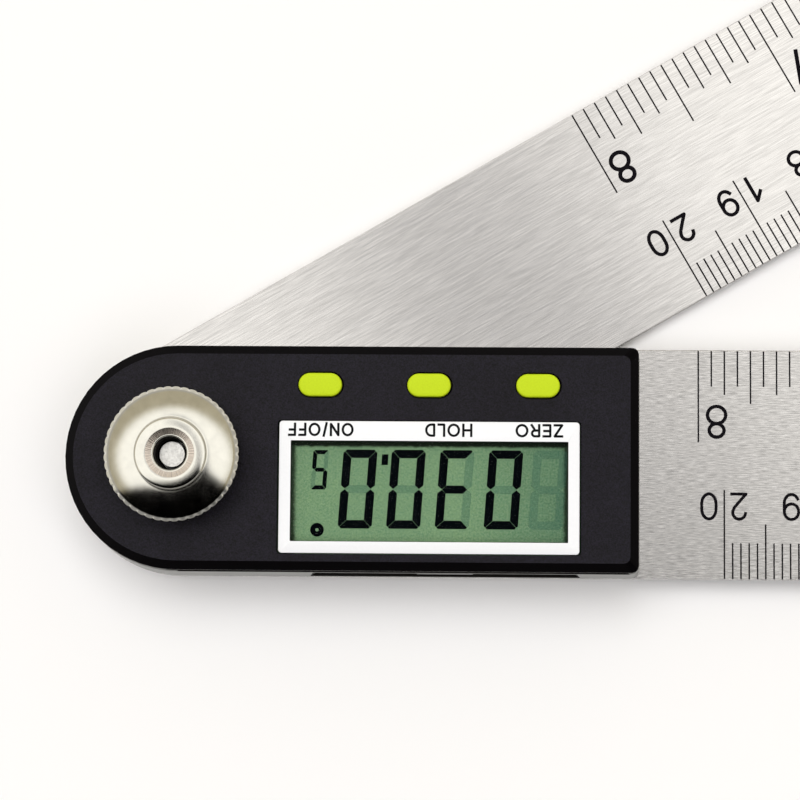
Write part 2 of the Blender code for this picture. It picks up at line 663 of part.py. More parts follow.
def top_cover():
    """Black cover: bevelled rim, roof with the display, button and pivot openings, screw bosses."""
    face_reach = HOUSING_REACH - COVER_BEVEL_WIDTH
    outer = bar_outline(COVER_HALF, HOUSING_REACH, COVER_CORNER)
    bm = bmesh.new()
    stacked(bm, [
        (outer, COVER_BOTTOM),
        (outer, COVER_TOP - COVER_BEVEL_HEIGHT),
        (bar_outline(FACE_HALF, face_reach, COVER_CORNER), COVER_TOP),
    ])
    cover = piece("top_cover", bm, "black_cover")

    bm = bmesh.new()
    prism(bm, cavity_outline(), COVER_BOTTOM - CUT_OVERRUN, ROOF_BOTTOM)
    cut(cover, "top_cover_cavity", bm)

    bm = bmesh.new()
    for place in SCREW_PLACES:
        rod(bm, COVER_BOSS_RADIUS, BOARD_TOP + SEAT_GAP, ROOF_BOTTOM + COVER_ROOF / 2, place)
    join(cover, "top_cover_bosses", bm)

    bm = bmesh.new()
    for place in SCREW_PLACES:
        rod(bm, SCREW_SHANK_RADIUS + SEAT_GAP, BOARD_TOP - CUT_OVERRUN, ROOF_BOTTOM - SEAT_GAP, place)
    rod(bm, BUSHING_RADIUS + SEAT_GAP, ROOF_BOTTOM - CUT_OVERRUN, COVER_TOP + CUT_OVERRUN,
        segments=ROUND_SEGMENTS)
    prism(bm, bezel_outline(-SEAT_GAP), ROOF_BOTTOM - CUT_OVERRUN, COVER_TOP + CUT_OVERRUN)
    hole_length = BUTTON_LENGTH + 2 * BUTTON_SIDE_GAP
    hole_width = BUTTON_WIDTH + 2 * BUTTON_SIDE_GAP
    for x in BUTTON_XS:
        hole = stadium_outline(x, BUTTON_Y, hole_length, hole_width)
        prism(bm, hole, ROOF_BOTTOM - CUT_OVERRUN, COVER_TOP + CUT_OVERRUN)
    cut(cover, "top_cover_openings", bm)


def bezel_outline(inset):
    """The white frame's outer edge, drawn in by inset."""
    return box_outline(BEZEL_LEFT + inset, BEZEL_RIGHT - inset, BEZEL_LOW_Y + inset, BEZEL_HIGH_Y - inset,
                       BEZEL_CORNER)


def display():
    """White frame, clear lens, display glass and the two elastomer strips under it."""
    window = box_outline(BEZEL_LEFT + BEZEL_SIDE_BAND, BEZEL_RIGHT - BEZEL_SIDE_BAND,
                         BEZEL_LOW_Y + BEZEL_SIDE_BAND, BEZEL_HIGH_Y - BEZEL_LABEL_BAND, WINDOW_CORNER)
    bm = bmesh.new()
    frame(bm, bezel_outline(0.0), window, BEZEL_BOTTOM, BEZEL_TOP)
    piece("display_bezel", bm, "white_bezel")

    bm = bmesh.new()
    prism(bm, bezel_outline(SEAT_GAP), LENS_BOTTOM, LENS_TOP)
    piece("window_lens", bm, "clear_lens")

    low = BEZEL_LOW_Y - LCD_MARGIN
    high = BEZEL_HIGH_Y + LCD_MARGIN
    bm = bmesh.new()
    prism(bm, box_outline(LCD_LEFT, LCD_RIGHT, low, high, LCD_CORNER), LCD_BOTTOM, LCD_TOP)
    piece("lcd_panel", bm, "lcd_glass")

    left = LCD_LEFT + 2 * STRIP_INSET
    right = LCD_RIGHT - 2 * STRIP_INSET
    for name, start in (("elastomer_strip_low", low + STRIP_INSET),
                        ("elastomer_strip_high", high - STRIP_INSET - STRIP_WIDTH)):
        bm = bmesh.new()
        outline = box_outline(left, right, start, start + STRIP_WIDTH, STRIP_CORNER)
        prism(bm, outline, BOARD_TOP + SEAT_GAP, LCD_BOTTOM - SEAT_GAP)
        piece(name, bm, "grey_elastomer")


def circuit_board():
    """Main board with the encoder's stator, and the chip under it."""
    bm = bmesh.new()
    reach = HOUSING_REACH - COVER_WALL - BOARD_EDGE_GAP
    outline = bar_outline(CAVITY_HALF - BOARD_EDGE_GAP, reach, COVER_CORNER)
    prism(bm, outline, BOARD_BOTTOM, BOARD_TOP)
    board = piece("circuit_board", bm, "board_green")
    bm = bmesh.new()
    low = BOARD_BOTTOM - CUT_OVERRUN
    high = BOARD_TOP + CUT_OVERRUN
    rod(bm, BUSHING_RADIUS + SLIDE_CLEARANCE, low, high, segments=ROUND_SEGMENTS)
    for place in SCREW_PLACES:
        rod(bm, SCREW_SHANK_RADIUS + SLIDE_CLEARANCE, low, high, place)
    cut(board, "circuit_board_holes", bm)

    half = CHIP_LENGTH / 2
    middle = SCREW_RIGHT_X
    bm = bmesh.new()
    prism(bm, box_outline(middle - half, middle + half, -half, half, CHIP_CORNER),
          BOARD_BOTTOM - SEAT_GAP - CHIP_THICKNESS, BOARD_BOTTOM - SEAT_GAP)
    piece("encoder_chip", bm, "black_epoxy")


def button(name, x):
    """Rubber key: rounded cap through the roof, a flange under it, and a plunger over the dome."""
    axis = axis_empty(name + "_axis", (x, BUTTON_Y, COVER_TOP))
    top = BUTTON_RISE
    flange_top = ROOF_BOTTOM - SEAT_GAP - COVER_TOP
    flange_bottom = flange_top - BUTTON_FLANGE_THICKNESS
    cap = stadium_outline(0.0, 0.0, BUTTON_LENGTH, BUTTON_WIDTH)
    drawn_in = BUTTON_ROUNDING * (1 - math.sin(math.pi / 4))
    shoulder = stadium_outline(0.0, 0.0, BUTTON_LENGTH - 2 * drawn_in, BUTTON_WIDTH - 2 * drawn_in)
    narrow = 2 * BUTTON_ROUNDING
    crown = stadium_outline(0.0, 0.0, BUTTON_LENGTH - narrow, BUTTON_WIDTH - narrow)
    wide = 2 * BUTTON_FLANGE
    flange = stadium_outline(0.0, 0.0, BUTTON_LENGTH + wide, BUTTON_WIDTH + wide)
    bm = bmesh.new()
    stacked(bm, [
        (flange, flange_bottom),
        (flange, flange_top),
        (cap, flange_top),
        (cap, top - BUTTON_ROUNDING),
        (shoulder, top - drawn_in),
        (crown, top),
    ])
    key = piece(name, bm, "lime_rubber", axis)
    bm = bmesh.new()
    dome_top = BOARD_TOP + SEAT_GAP + DOME_HEIGHT - COVER_TOP
    plunger_top = flange_bottom + BUTTON_FLANGE_THICKNESS / 2
    rod(bm, PLUNGER_RADIUS, dome_top + BUTTON_TRAVEL + CLIP_GAP, plunger_top)
    join(key, name + "_plunger", bm)


def dome_contact(name, x):
    """Snap dome on the board under a button."""
    bottom = BOARD_TOP + SEAT_GAP
    bm = bmesh.new()
    turned(bm, [
        (0.0, bottom),
        (DOME_RADIUS, bottom),
        (DOME_RADIUS, bottom + DOME_EDGE),
        (DOME_RADIUS / 2, bottom + DOME_HEIGHT),
        (0.0, bottom + DOME_HEIGHT),
    ], (x, BUTTON_Y), SMALL_SEGMENTS)
    piece(name, bm, "spring_steel")


def buttons():
    for name, x in zip(BUTTON_NAMES, BUTTON_XS):
        button(f"{name}_button", x)
        dome_contact(f"{name}_dome", x)


def drawer_half_outline():
    """The +X half of the drawer's outline about the cell's axis, from its front to its back."""
    front = -DRAWER_FRONT_DEPTH
    block = DRAWER_BLOCK_WIDTH / 2
    tab = DRAWER_TAB_WIDTH / 2
    slit_inner = RING_RADIUS + LOOSE_CLEARANCE
    block_meets = math.degrees(math.atan2(-math.sqrt(RING_RADIUS ** 2 - block ** 2), block))
    root = math.degrees(math.asin(DRAWER_ARM_ROOT / RING_RADIUS))
    bridge_end = math.degrees(math.asin((DRAWER_ARM_ROOT + 2 * DRAWER_ARM_BRIDGE) / RING_RADIUS))
    points = [(tab, front), (tab, front + DRAWER_TAB_STEP), (block, front + DRAWER_TAB_STEP)]
    points += arc(0.0, 0.0, RING_RADIUS, block_meets, root, SMALL_SEGMENTS // 2)
    points += [
        (slit_inner, DRAWER_ARM_ROOT),
        (slit_inner, front + 2 * DRAWER_ARM_TIP_DEPTH),
        (ARM_FRONT_INNER, front + DRAWER_ARM_TIP_DEPTH),
        (ARM_FRONT_INNER, front + DRAWER_TAB_STEP),
        (ARM_OUTER, front + DRAWER_TAB_STEP),
        (ARM_OUTER, DRAWER_ARM_ROOT + DRAWER_ARM_BRIDGE),
    ]
    return points + arc(0.0, 0.0, RING_RADIUS, bridge_end, 90, SMALL_SEGMENTS // 3)


def pocket_outline():
    """The cell's round pocket with a notch at the back for the rim contact."""
    half = DRAWER_NOTCH_WIDTH / 2
    start = 90 + math.degrees(math.asin(half / POCKET_RADIUS))
    back = RING_RADIUS + CUT_OVERRUN
    points = arc(0.0, 0.0, POCKET_RADIUS, start, start + 360 - 2 * (start - 90), ROUND_SEGMENTS)
    return points + [(half, back), (-half, back)]


def battery_drawer():
    """Sliding tray with a cell pocket and a sprung latch arm on each side, and the cell in it."""
    axis = axis_empty("drawer_axis", (DRAWER_X, CELL_Y, 0.0))
    right = drawer_half_outline()
    left = [(-x, y) for x, y in reversed(right[:-1])]
    bm = bmesh.new()
    prism(bm, right + left, DRAWER_BOTTOM, CELL_TOP)
    drawer = piece("battery_drawer", bm, "grey_tray", axis)
    bm = bmesh.new()
    prism(bm, pocket_outline(), TRAY_TOP, CELL_TOP + CUT_OVERRUN)
    cut(drawer, "battery_drawer_pocket", bm)

    cap_step = CELL_TOP - CELL_CAP_STEP
    cap_radius = CELL_RADIUS - CELL_CAP_INSET
    bm = bmesh.new()
    turned(bm, [
        (0.0, CELL_BOTTOM),
        (CELL_RADIUS - CELL_EDGE, CELL_BOTTOM),
        (CELL_RADIUS, CELL_BOTTOM + CELL_EDGE),
        (CELL_RADIUS, cap_step),
        (cap_radius, cap_step),
        (cap_radius, CELL_TOP),
        (0.0, CELL_TOP),
    ])
    piece("coin_cell", bm, "cell_steel", axis)


def battery_contacts():
    """A leaf over the cell's top face, and an angle spring against its rim at the back."""
    half = LEAF_LENGTH / 2
    low_y = CELL_Y - LEAF_WIDTH / 2
    bm = bmesh.new()
    outline = box_outline(DRAWER_X - half, DRAWER_X + half, low_y, low_y + LEAF_WIDTH, LEAF_CORNER)
    prism(bm, outline, LEAF_BOTTOM, LEAF_BOTTOM + LEAF_THICKNESS)
    piece("top_contact", bm, "brass")

    rim_y = CELL_Y + CELL_RADIUS + SEAT_GAP
    low = CELL_BOTTOM + LOOSE_CLEARANCE
    high = LEAF_BOTTOM + LEAF_THICKNESS
    back = CAVITY_HALF - RIM_CONTACT_WALL_GAP
    section = [
        (rim_y, low),
        (rim_y + LEAF_THICKNESS, low),
        (rim_y + LEAF_THICKNESS, LEAF_BOTTOM),
        (back, LEAF_BOTTOM),
        (back, high),
        (rim_y, high),
    ]
    left = DRAWER_X - RIM_CONTACT_WIDTH / 2
    right = left + RIM_CONTACT_WIDTH
    bm = bmesh.new()
    near = [bm.verts.new((left, y, z)) for y, z in section]
    across = [bm.verts.new((right, y, z)) for y, z in section]
    for i, start in enumerate(near):
        j = (i + 1) % len(near)
        bm.faces.new((start, near[j], across[j], across[i]))
    bm.faces.new(list(reversed(near)))
    bm.faces.new(across)
    piece("rim_contact", bm, "brass")


def housing_screws():
    """Flat-headed screws from below, through rule, shell and board into the cover's bosses."""
    head_bottom = UPPER_BOTTOM + SCREW_HEAD_SINK
    head_top = head_bottom + SCREW_HEAD_RADIUS - SCREW_SHANK_RADIUS
    tip = ROOF_BOTTOM - SCREW_TIP_GAP
    for index, place in enumerate(SCREW_PLACES, start=1):
        bm = bmesh.new()
        turned(bm, [
            (0.0, head_bottom + SCREW_SOCKET_DEPTH),
            (SCREW_SOCKET_RADIUS, head_bottom + SCREW_SOCKET_DEPTH),
            (SCREW_SOCKET_RADIUS, head_bottom),
            (SCREW_HEAD_RADIUS, head_bottom),
            (SCREW_SHANK_RADIUS, head_top),
            (SCREW_SHANK_RADIUS, tip),
            (0.0, tip),
        ], place, SMALL_SEGMENTS)
        piece(f"housing_screw_{index}", bm, "turned_steel")


def clamp_pieces():
    """Bushing that carries the clamping load through the housing, and the washer under the knob."""
    bore = STUD_RADIUS + RUNNING_CLEARANCE
    bm = bmesh.new()
    washer(bm, bore, BUSHING_RADIUS, ROTOR_TOP + ROTOR_GAP, COVER_TOP)
    piece("clamp_bushing", bm, "brass")
    bm = bmesh.new()
    washer(bm, bore, CLAMP_WASHER_RADIUS, CLAMP_WASHER_BOTTOM, CLAMP_WASHER_BOTTOM + CLAMP_WASHER_THICKNESS)
    piece("clamp_washer", bm, "turned_steel")


def lock_knob():
    """Knurled nut on the stud: coned top, raised boss with a dished ring, and an open mouth."""
    axis = axis_empty("knob_axis")
    rim_top = KNOB_TOP - KNOB_RIM_TOP
    bore = STUD_RADIUS + RUNNING_CLEARANCE
    boss_foot = KNOB_TOP - KNOB_BOSS_HEIGHT
    rounding = KNOB_BOSS_ROUNDING
    part_turn = math.sin(math.pi / 4)
    foot_end = KNOB_BOTTOM + KNOB_FOOT_BEVEL
    mouth_bottom = KNOB_TOP - KNOB_MOUTH_DEPTH
    bm = bmesh.new()
    turned(bm, [
        (bore, KNOB_BOTTOM),
        (KNOB_ROOT_RADIUS, KNOB_BOTTOM),
        (KNOB_RADIUS - KNURL_DEPTH, foot_end),
        (KNOB_RADIUS, foot_end + KNURL_DEPTH, KNURL_DEPTH),
        (KNOB_RADIUS, rim_top - KNOB_RIM_BEVEL, KNURL_DEPTH),
        (KNOB_RADIUS - KNOB_RIM_BEVEL, rim_top),
        (KNOB_BOSS_RADIUS, boss_foot),
        (KNOB_BOSS_RADIUS, KNOB_TOP - rounding),
        (KNOB_BOSS_RADIUS - rounding * (1 - part_turn), KNOB_TOP - rounding * (1 - part_turn)),
        (KNOB_BOSS_RADIUS - rounding, KNOB_TOP),
        (KNOB_DISH_RADIUS, KNOB_TOP),
        (KNOB_LIP_RADIUS, KNOB_TOP - KNOB_DISH_DEPTH),
        (KNOB_MOUTH_RADIUS, KNOB_TOP - KNOB_DISH_DEPTH),
        (KNOB_MOUTH_RADIUS, mouth_bottom),
        (bore, mouth_bottom),
    ], segments=TOOTH_SEGMENTS * KNOB_TEETH)
    piece("lock_knob", bm, "bright_nickel", axis)


def build():
    clear_scene()
    arm = axis_empty("lower_arm_axis", turn=ARM_ANGLE)
    lower_rule(arm)
    pivot_foot(arm)
    pivot_post(arm)
    pivot_stack(arm)
    upper_rule()
    lower_shell()
    top_cover()
    display()
    circuit_board()
    buttons()
    battery_drawer()
    battery_contacts()
    housing_screws()
    clamp_pieces()
    lock_knob()


build()
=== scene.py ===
import math

import bmesh
import bpy
from mathutils import Matrix, Vector
from mathutils.geometry import delaunay_2d_cdt


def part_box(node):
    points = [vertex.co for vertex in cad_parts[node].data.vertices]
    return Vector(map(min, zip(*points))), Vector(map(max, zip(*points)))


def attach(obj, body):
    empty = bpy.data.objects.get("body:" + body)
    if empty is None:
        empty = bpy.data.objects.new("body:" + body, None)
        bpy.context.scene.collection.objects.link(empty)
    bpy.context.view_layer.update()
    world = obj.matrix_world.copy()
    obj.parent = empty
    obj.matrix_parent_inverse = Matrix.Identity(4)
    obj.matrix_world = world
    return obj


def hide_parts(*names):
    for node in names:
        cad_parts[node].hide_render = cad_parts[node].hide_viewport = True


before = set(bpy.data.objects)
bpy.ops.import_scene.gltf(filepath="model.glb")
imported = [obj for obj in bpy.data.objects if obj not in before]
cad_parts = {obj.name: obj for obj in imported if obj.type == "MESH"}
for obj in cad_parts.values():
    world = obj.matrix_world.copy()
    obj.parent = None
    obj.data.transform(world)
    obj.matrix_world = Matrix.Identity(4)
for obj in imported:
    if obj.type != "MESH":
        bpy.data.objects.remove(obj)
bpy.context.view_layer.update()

# A digital angle finder: finishes for its solids, and what is modelled over them

MM = 0.001
CENTIMETRE = 10.0 * MM
INCH = 25.4 * MM

# The photograph's camera, from the rules' graduations: turns in radians, lens and sensor in mm
CAMERA_PLACE = (35.4574 * MM, -19.7336 * MM, 323.7 * MM)
CAMERA_TILT_X = -0.0854
CAMERA_TILT_Y = -0.0285
CAMERA_ROLL = -0.0082
CAMERA_LENS = 118.2013
CAMERA_SENSOR = 36.0
CAMERA_NEAREST = 0.01
CAMERA_FARTHEST = 20.0

# The rules: the turn between them, their free ends and edges, and their upper faces
ARM_ANGLE = math.radians(30.05)
RULE_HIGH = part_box("upper_rule")[1]
RULE_REACH = RULE_HIGH.x
RULE_HALF = RULE_HIGH.y
UPPER_RULE_TOP = RULE_HIGH.z
LOWER_RULE_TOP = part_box("lower_rule")[1].z

# All print: how far it stands above its surface and reaches into it
INK_THICKNESS = 0.012 * MM
INK_SUNK = 0.002 * MM

# Marks of both scales: their width, their start and the end of each kind, from the rule's edge
LINE_WIDTH = 0.19 * MM
EDGE_MARGIN = 0.12 * MM
MILLIMETRE_MARK = 4.3 * MM
HALF_CENTIMETRE_MARK = 6.6 * MM
CENTIMETRE_MARK = 10.9 * MM
SIXTEENTH_MARK = 4.3 * MM
EIGHTH_MARK = 5.3 * MM
QUARTER_MARK = 6.4 * MM
HALF_INCH_MARK = 8.2 * MM
INCH_MARK = 11.3 * MM

# Each scale: its length, how far its marks lie towards the free end, and the marks by their step,
# in millimetres and in sixteenths of an inch
CENTIMETRES = 20
METRIC_SHIFT = 0.05 * MM
METRIC_MARKS = ((10, CENTIMETRE_MARK), (5, HALF_CENTIMETRE_MARK), (1, MILLIMETRE_MARK))
INCHES = 8
INCH_SHIFT = 0.12 * MM
INCH_MARKS = ((16, INCH_MARK), (8, HALF_INCH_MARK), (4, QUARTER_MARK), (2, EIGHTH_MARK), (1, SIXTEENTH_MARK))

# Numerals of both scales: height, stroke, place across the rule and distance from their mark, and
# how much farther out a leading one stands
METRIC_NUMERAL = 3.53 * MM
METRIC_STROKE = 0.44 * MM
METRIC_NUMERAL_FOOT = 3.48 * MM
METRIC_NUMERAL_SIDE = 0.76 * MM
INCH_NUMERAL = 4.32 * MM
INCH_STROKE = 0.51 * MM
INCH_NUMERAL_TOP = 7.33 * MM
INCH_NUMERAL_SIDE = 1.05 * MM
TENS_ONE_SHIFT = 0.45 * MM

# How each rule's print differs: added length of the short marks, size and weight of the numerals
PRINTS = {"upper_rule": (0.17 * MM, 0.97, 0.85), "lower_rule": (0.0, 1.0, 1.0)}

# The white frame: low and high X, low and high Y of its outside and of its window, the rounding of
# its edges and its corners' radii
BEZEL_BOTTOM, BEZEL_TOP = (corner.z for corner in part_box("display_bezel"))
BEZEL_OUTSIDE = (12.275 * MM, 47.935 * MM, -11.34 * MM, 4.36 * MM)
BEZEL_WINDOW = (13.70 * MM, 46.55 * MM, -9.90 * MM, 1.98 * MM)
BEZEL_ROUNDING = 0.10 * MM
BEZEL_SHOULDER = 0.3 * BEZEL_ROUNDING
WINDOW_ROUNDING = 0.5 * BEZEL_ROUNDING
BEZEL_CORNER = 0.42 * MM
BEZEL_EDGE_CORNER = 0.40 * MM
BEZEL_FACE_CORNER = 0.34 * MM
WINDOW_CORNER = 0.10 * MM
WINDOW_FACE_CORNER = 0.12 * MM
CORNER_STEPS = 8

# Words on the white frame, which read upside down: the low and high X of each, in mm
LABELS = {"ON/OFF": (13.30, 21.11), "HOLD": (29.60, 35.22), "ZERO": (40.33, 45.99)}
LABEL_HEIGHT = 1.6 * MM
LABEL_STROKE = 0.28 * MM
LABEL_GAP = 0.25 * MM
LABEL_FOOT = 4.13 * MM

# Digits of the display, which reads upside down: each with its high X edge, in mm
LCD_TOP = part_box("lcd_panel")[1].z
SEGMENTS = {"0": "abcdef", "3": "abcdg", "5": "acdfg"}
BIG_DIGITS = ((" ", 46.6), ("0", 41.31), ("3", 35.50), ("0", 29.71), ("0", 23.95))
BIG_DIGIT_FOOT = 1.05 * MM
BIG_DIGIT_TOP = -8.35 * MM
BIG_DIGIT_WIDTH = 4.06 * MM
BIG_SEGMENT = 1.0 * MM
SMALL_DIGIT = "5"
SMALL_DIGIT_X = 18.15 * MM
SMALL_DIGIT_FOOT = 0.97 * MM
SMALL_DIGIT_TOP = -3.74 * MM
SMALL_DIGIT_WIDTH = 1.87 * MM
SMALL_SEGMENT = 0.5 * MM
SEGMENT_GAP = 0.030 * MM
DIGIT_SLANT = 0.07

# A segment's mitred corner, and how far its point and the middle bar reach, in strokes
CORNER_CUT = 0.38
POINT_REACH = 0.45
MIDDLE_HALF = 0.48

# The decimal bar's corners in mm, and the degree ring
DECIMAL_BAR = ((24.40, -0.78), (25.16, -0.78), (25.24, 0.50), (24.48, 0.50))
DEGREE_X = 16.8 * MM
DEGREE_Y = -8.54 * MM
DEGREE_RADIUS = 0.51 * MM
DEGREE_HALF_LINE = 0.31 * MM
DEGREE_STEPS = 24

# Painted shadow of the frame on the display's edges: axis, where the shadow begins and where it is full, in
# mm, and its share
DISPLAY_EDGE_SHADOWS = (("Y", 1.20, 1.58, 0.97), ("X", 14.45, 13.85, 0.85), ("X", 45.90, 46.40, 0.85))
SHADE_RAGGED = 0.35 * MM

# The keys: the cap with its round edge and dome, its place, the flange under the cover's roof, how
# far above it a key is painted dark as the shade in the gap round it, and the plunger
KEY_LENGTH = 5.18 * MM
KEY_WIDTH = 2.78 * MM
KEY_ROUNDING = 0.28 * MM
KEY_FACE_INSET = 3.2 * KEY_ROUNDING
KEY_CROWN = 0.02 * MM
KEY_Y = 8.69 * MM
KEY_SHIFT = 0.07 * MM
KEY_FLANGE = 0.5 * MM
KEY_FLANGE_TOP = 11.4 * MM
KEY_SHADE_FOOT = 0.1 * MM
PLUNGER_WIDTH = 1.8 * MM
PLUNGER_LENGTH = 1.01 * PLUNGER_WIDTH
KEY_END_STEPS = 20
KEY_EDGE_STEPS = 6

# The drawer's slot in the shell's near side, whose faces are painted dark as the shade inside it
NEAR_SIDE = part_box("lower_shell")[0].y
SLOT_LEFT = 16.0 * MM
SLOT_RIGHT = 48.0 * MM
SLOT_LIP = 0.02 * MM
SLOT_REACH = 6.0 * MM

# Small round edges on solids that keep their shape
SOFT_EDGES = {"top_cover": 0.12 * MM, "lower_shell": 0.15 * MM, "battery_drawer": 0.10 * MM}
SOFT_EDGE_ANGLE = math.radians(35.0)
SOFT_EDGE_SEGMENTS = 2

# The knob's profile in mm. A point near its foot has its radius and its height above the foot; the
# others have their radius, their depth below the top and, on the knurl, the share of its notches
KNOB_FOOT, KNOB_TOP = (corner.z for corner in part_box("lock_knob"))
KNOB_BORE = 1.75
KNOB_FOOT_RADIUS = 6.6
KNOB_FOOT_CHAMFER = (7.45, 0.35)
KNURL_LOW = (7.93, 0.75)
KNURL_HIGH = ((7.84, 1.95, 1.0), (7.93, 1.66, 1.0), (7.91, 1.645, 0.95),
              (7.70, 1.50, 0.3), (7.60, 1.43, 0.0))
DOME_START = (7.50, 1.36)
DOME_POINTS = 13
DOME_STEP = 0.252
DOME_STEEPEST = 20.0
DOME_FLATTEST = 6.0
BOSS = ((4.30, 0.612), (4.25, 0.60), (4.225, 0.56), (4.215, 0.30), (4.20, 0.21), (4.16, 0.145),
        (4.10, 0.112), (4.00, 0.088), (3.80, 0.062), (3.50, 0.032), (3.20, 0.010), (2.93, 0.0))
MOUTH = ((2.88, 0.01), (2.20, 0.13), (2.16, 0.135), (2.10, 0.135), (2.05, 0.14),
         (1.96, 0.26), (1.90, 0.34), (1.88, 0.42), (1.88, 3.1), (KNOB_BORE, 3.1))

# The knurl: round bumps with narrow notches between them
KNOB_TEETH = 48
TOOTH_STEPS = 12
KNURL_DEPTH = 0.13 * MM
KNURL_POWER = 2.6

# The ring of tool marks round the knob's mouth, and the mouth's wall, painted dark as the shade deep in the
# bore
MACHINED_INSIDE = 2.18 * MM
MACHINED_OUTSIDE = 2.90 * MM
MACHINED_DEPTH = 0.3 * MM
MOUTH_WALL = 1.89 * MM
MOUTH_WALL_FOOT = KNOB_FOOT + 1.0 * MM

# The stud's thread and faced end in mm, from the end face down
STUD_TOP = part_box("pivot_post")[1].z + 0.04 * MM
STUD_RADIUS = 1.54
STUD_ROOT = 1.47
STUD_CORE = 1.40
STUD_PITCH = 0.5
STUD_TURNS = 5
STUD_PLAIN = 0.30
CREST_WIDTH = 0.08
FLANK_FOOT = 0.25
STUD_END = ((STUD_RADIUS, 0.14), (1.52, 0.03), (STUD_ROOT, 0.0), (1.44, 0.0), (0.02, 0.0), (0.02, 0.6))
STUD_SIDES = 96

# The studio's floor, and its lamps, which light the object but stay out of its reflections
FLOOR_HALF = 3.0
FLOOR_LEVEL = -0.2 * MM
FLOOR_COLOUR = (0.94, 0.935, 0.935)
LAMP_AIM = (0.04, 0.0, 0.0)
LAMPS = {
    "key_window": {"place": (-0.16, 0.36, 1.15), "size": (1.0, 0.7), "power": 6.15,
                   "colour": (1.0, 0.998, 1.03)},
    "front_fill": {"place": (0.25, -0.45, 1.10), "size": (1.2, 0.8), "power": 3.98,
                   "colour": (1.0, 0.998, 1.05)},
}

# What the steel and the plating reflect: the colours of the studio's parts
SKY_MIDDLE = (0.64, 0.63, 0.63)
SKY_SIDES = (1.42, 1.40, 1.34)
SKY_BACK = (0.55, 0.50, 0.37)
SKY_FRONT = (0.0, 0.0, 0.0)
SKY_FRONT_LOW = (0.40, 0.395, 0.39)
SKY_LOW = (0.54, 0.52, 0.48)
SKY_HORIZON = (0.85, 0.82, 0.74)

# Where those parts lie, in a direction's X, Y and Z: a band is where one part fades into the next
MIDDLE_SLOPE = (0.87, 0.5)
MIDDLE_PLACE = 0.073
MIDDLE_BAND = (0.020, 0.078)
MIDDLE_END_BAND = (0.24, 0.36)
BACK_SHIFT = 0.035
BACK_STRETCH = (0.93, 1.25)
BACK_BAND = (0.47, 0.62)
LOW_BAND = (0.52, 0.70)
HORIZON_BAND = (0.26, 0.38)
FRONT_CORNER = 0.08
FRONT_SLOPES = (0.65, -0.46)
FRONT_BAND = (-0.050, 0.035)
FRONT_LOW_BAND = (0.28, 0.55)

# What most of a noise's values lie between
NOISE_LOW = 0.3
NOISE_HIGH = 0.7

# Sockets of a node that mixes two colours
MIX_SHARE, MIX_FIRST, MIX_SECOND, MIX_RESULT = 0, 6, 7, 2


def shade(colour, share):
    return tuple(c * share for c in colour)


class Nodes:
    """A node tree and short ways to add to it."""

    def __init__(self, tree):
        self.tree = tree

    def feed(self, socket, value):
        """Links another node's output to the socket, or sets its number, vector or colour."""
        if isinstance(value, bpy.types.NodeSocket):
            self.tree.links.new(value, socket)
        elif socket.type == "RGBA":
            socket.default_value = (*value, 1.0)
        else:
            socket.default_value = value

    def feed_all(self, node, inputs):
        """Feeds inputs by their names, which have underscores for spaces."""
        for name, value in inputs.items():
            self.feed(node.inputs[name.replace("_", " ")], value)

    def node(self, kind, **inputs):
        made = self.tree.nodes.new("ShaderNode" + kind)
        self.feed_all(made, inputs)
        return made

    def spread(self, value, low, high, start=NOISE_LOW, end=NOISE_HIGH, smooth=False):
        """The value's range from start to end, taken to low to high."""
        made = self.node("MapRange", Value=value, From_Min=start, From_Max=end, To_Min=low, To_Max=high)
        made.interpolation_type = "SMOOTHSTEP" if smooth else "LINEAR"
        return made.outputs[0]

    def rise(self, value, band, high=1.0):
        """Nothing below the band and high above it."""
        return self.spread(value, 0.0, high, *band, smooth=True)

    def fade(self, value, band):
        """One below the band and nothing above it."""
        return self.spread(value, 1.0, 0.0, *band, smooth=True)

    def calculate(self, operation, first, second=0.0):
        made = self.tree.nodes.new("ShaderNodeMath")
        made.operation = operation
        self.feed(made.inputs[0], first)
        self.feed(made.inputs[1], second)
        return made.outputs[0]

    def plus(self, first, second):
        return self.calculate("ADD", first, second)

    def minus(self, first, second):
        return self.calculate("SUBTRACT", first, second)

    def times(self, first, second):
        return self.calculate("MULTIPLY", first, second)

    def mix(self, share, first, second):
        made = self.tree.nodes.new("ShaderNodeMix")
        made.data_type = "RGBA"
        self.feed(made.inputs[MIX_SHARE], share)
        self.feed(made.inputs[MIX_FIRST], first)
        self.feed(made.inputs[MIX_SECOND], second)
        return made.outputs[MIX_RESULT]

    def tones(self, noise, colour, dark, light):
        """The colour's shades from dark to light, as the noise has it."""
        return self.mix(self.spread(noise, 0.0, 1.0), shade(colour, dark), shade(colour, light))


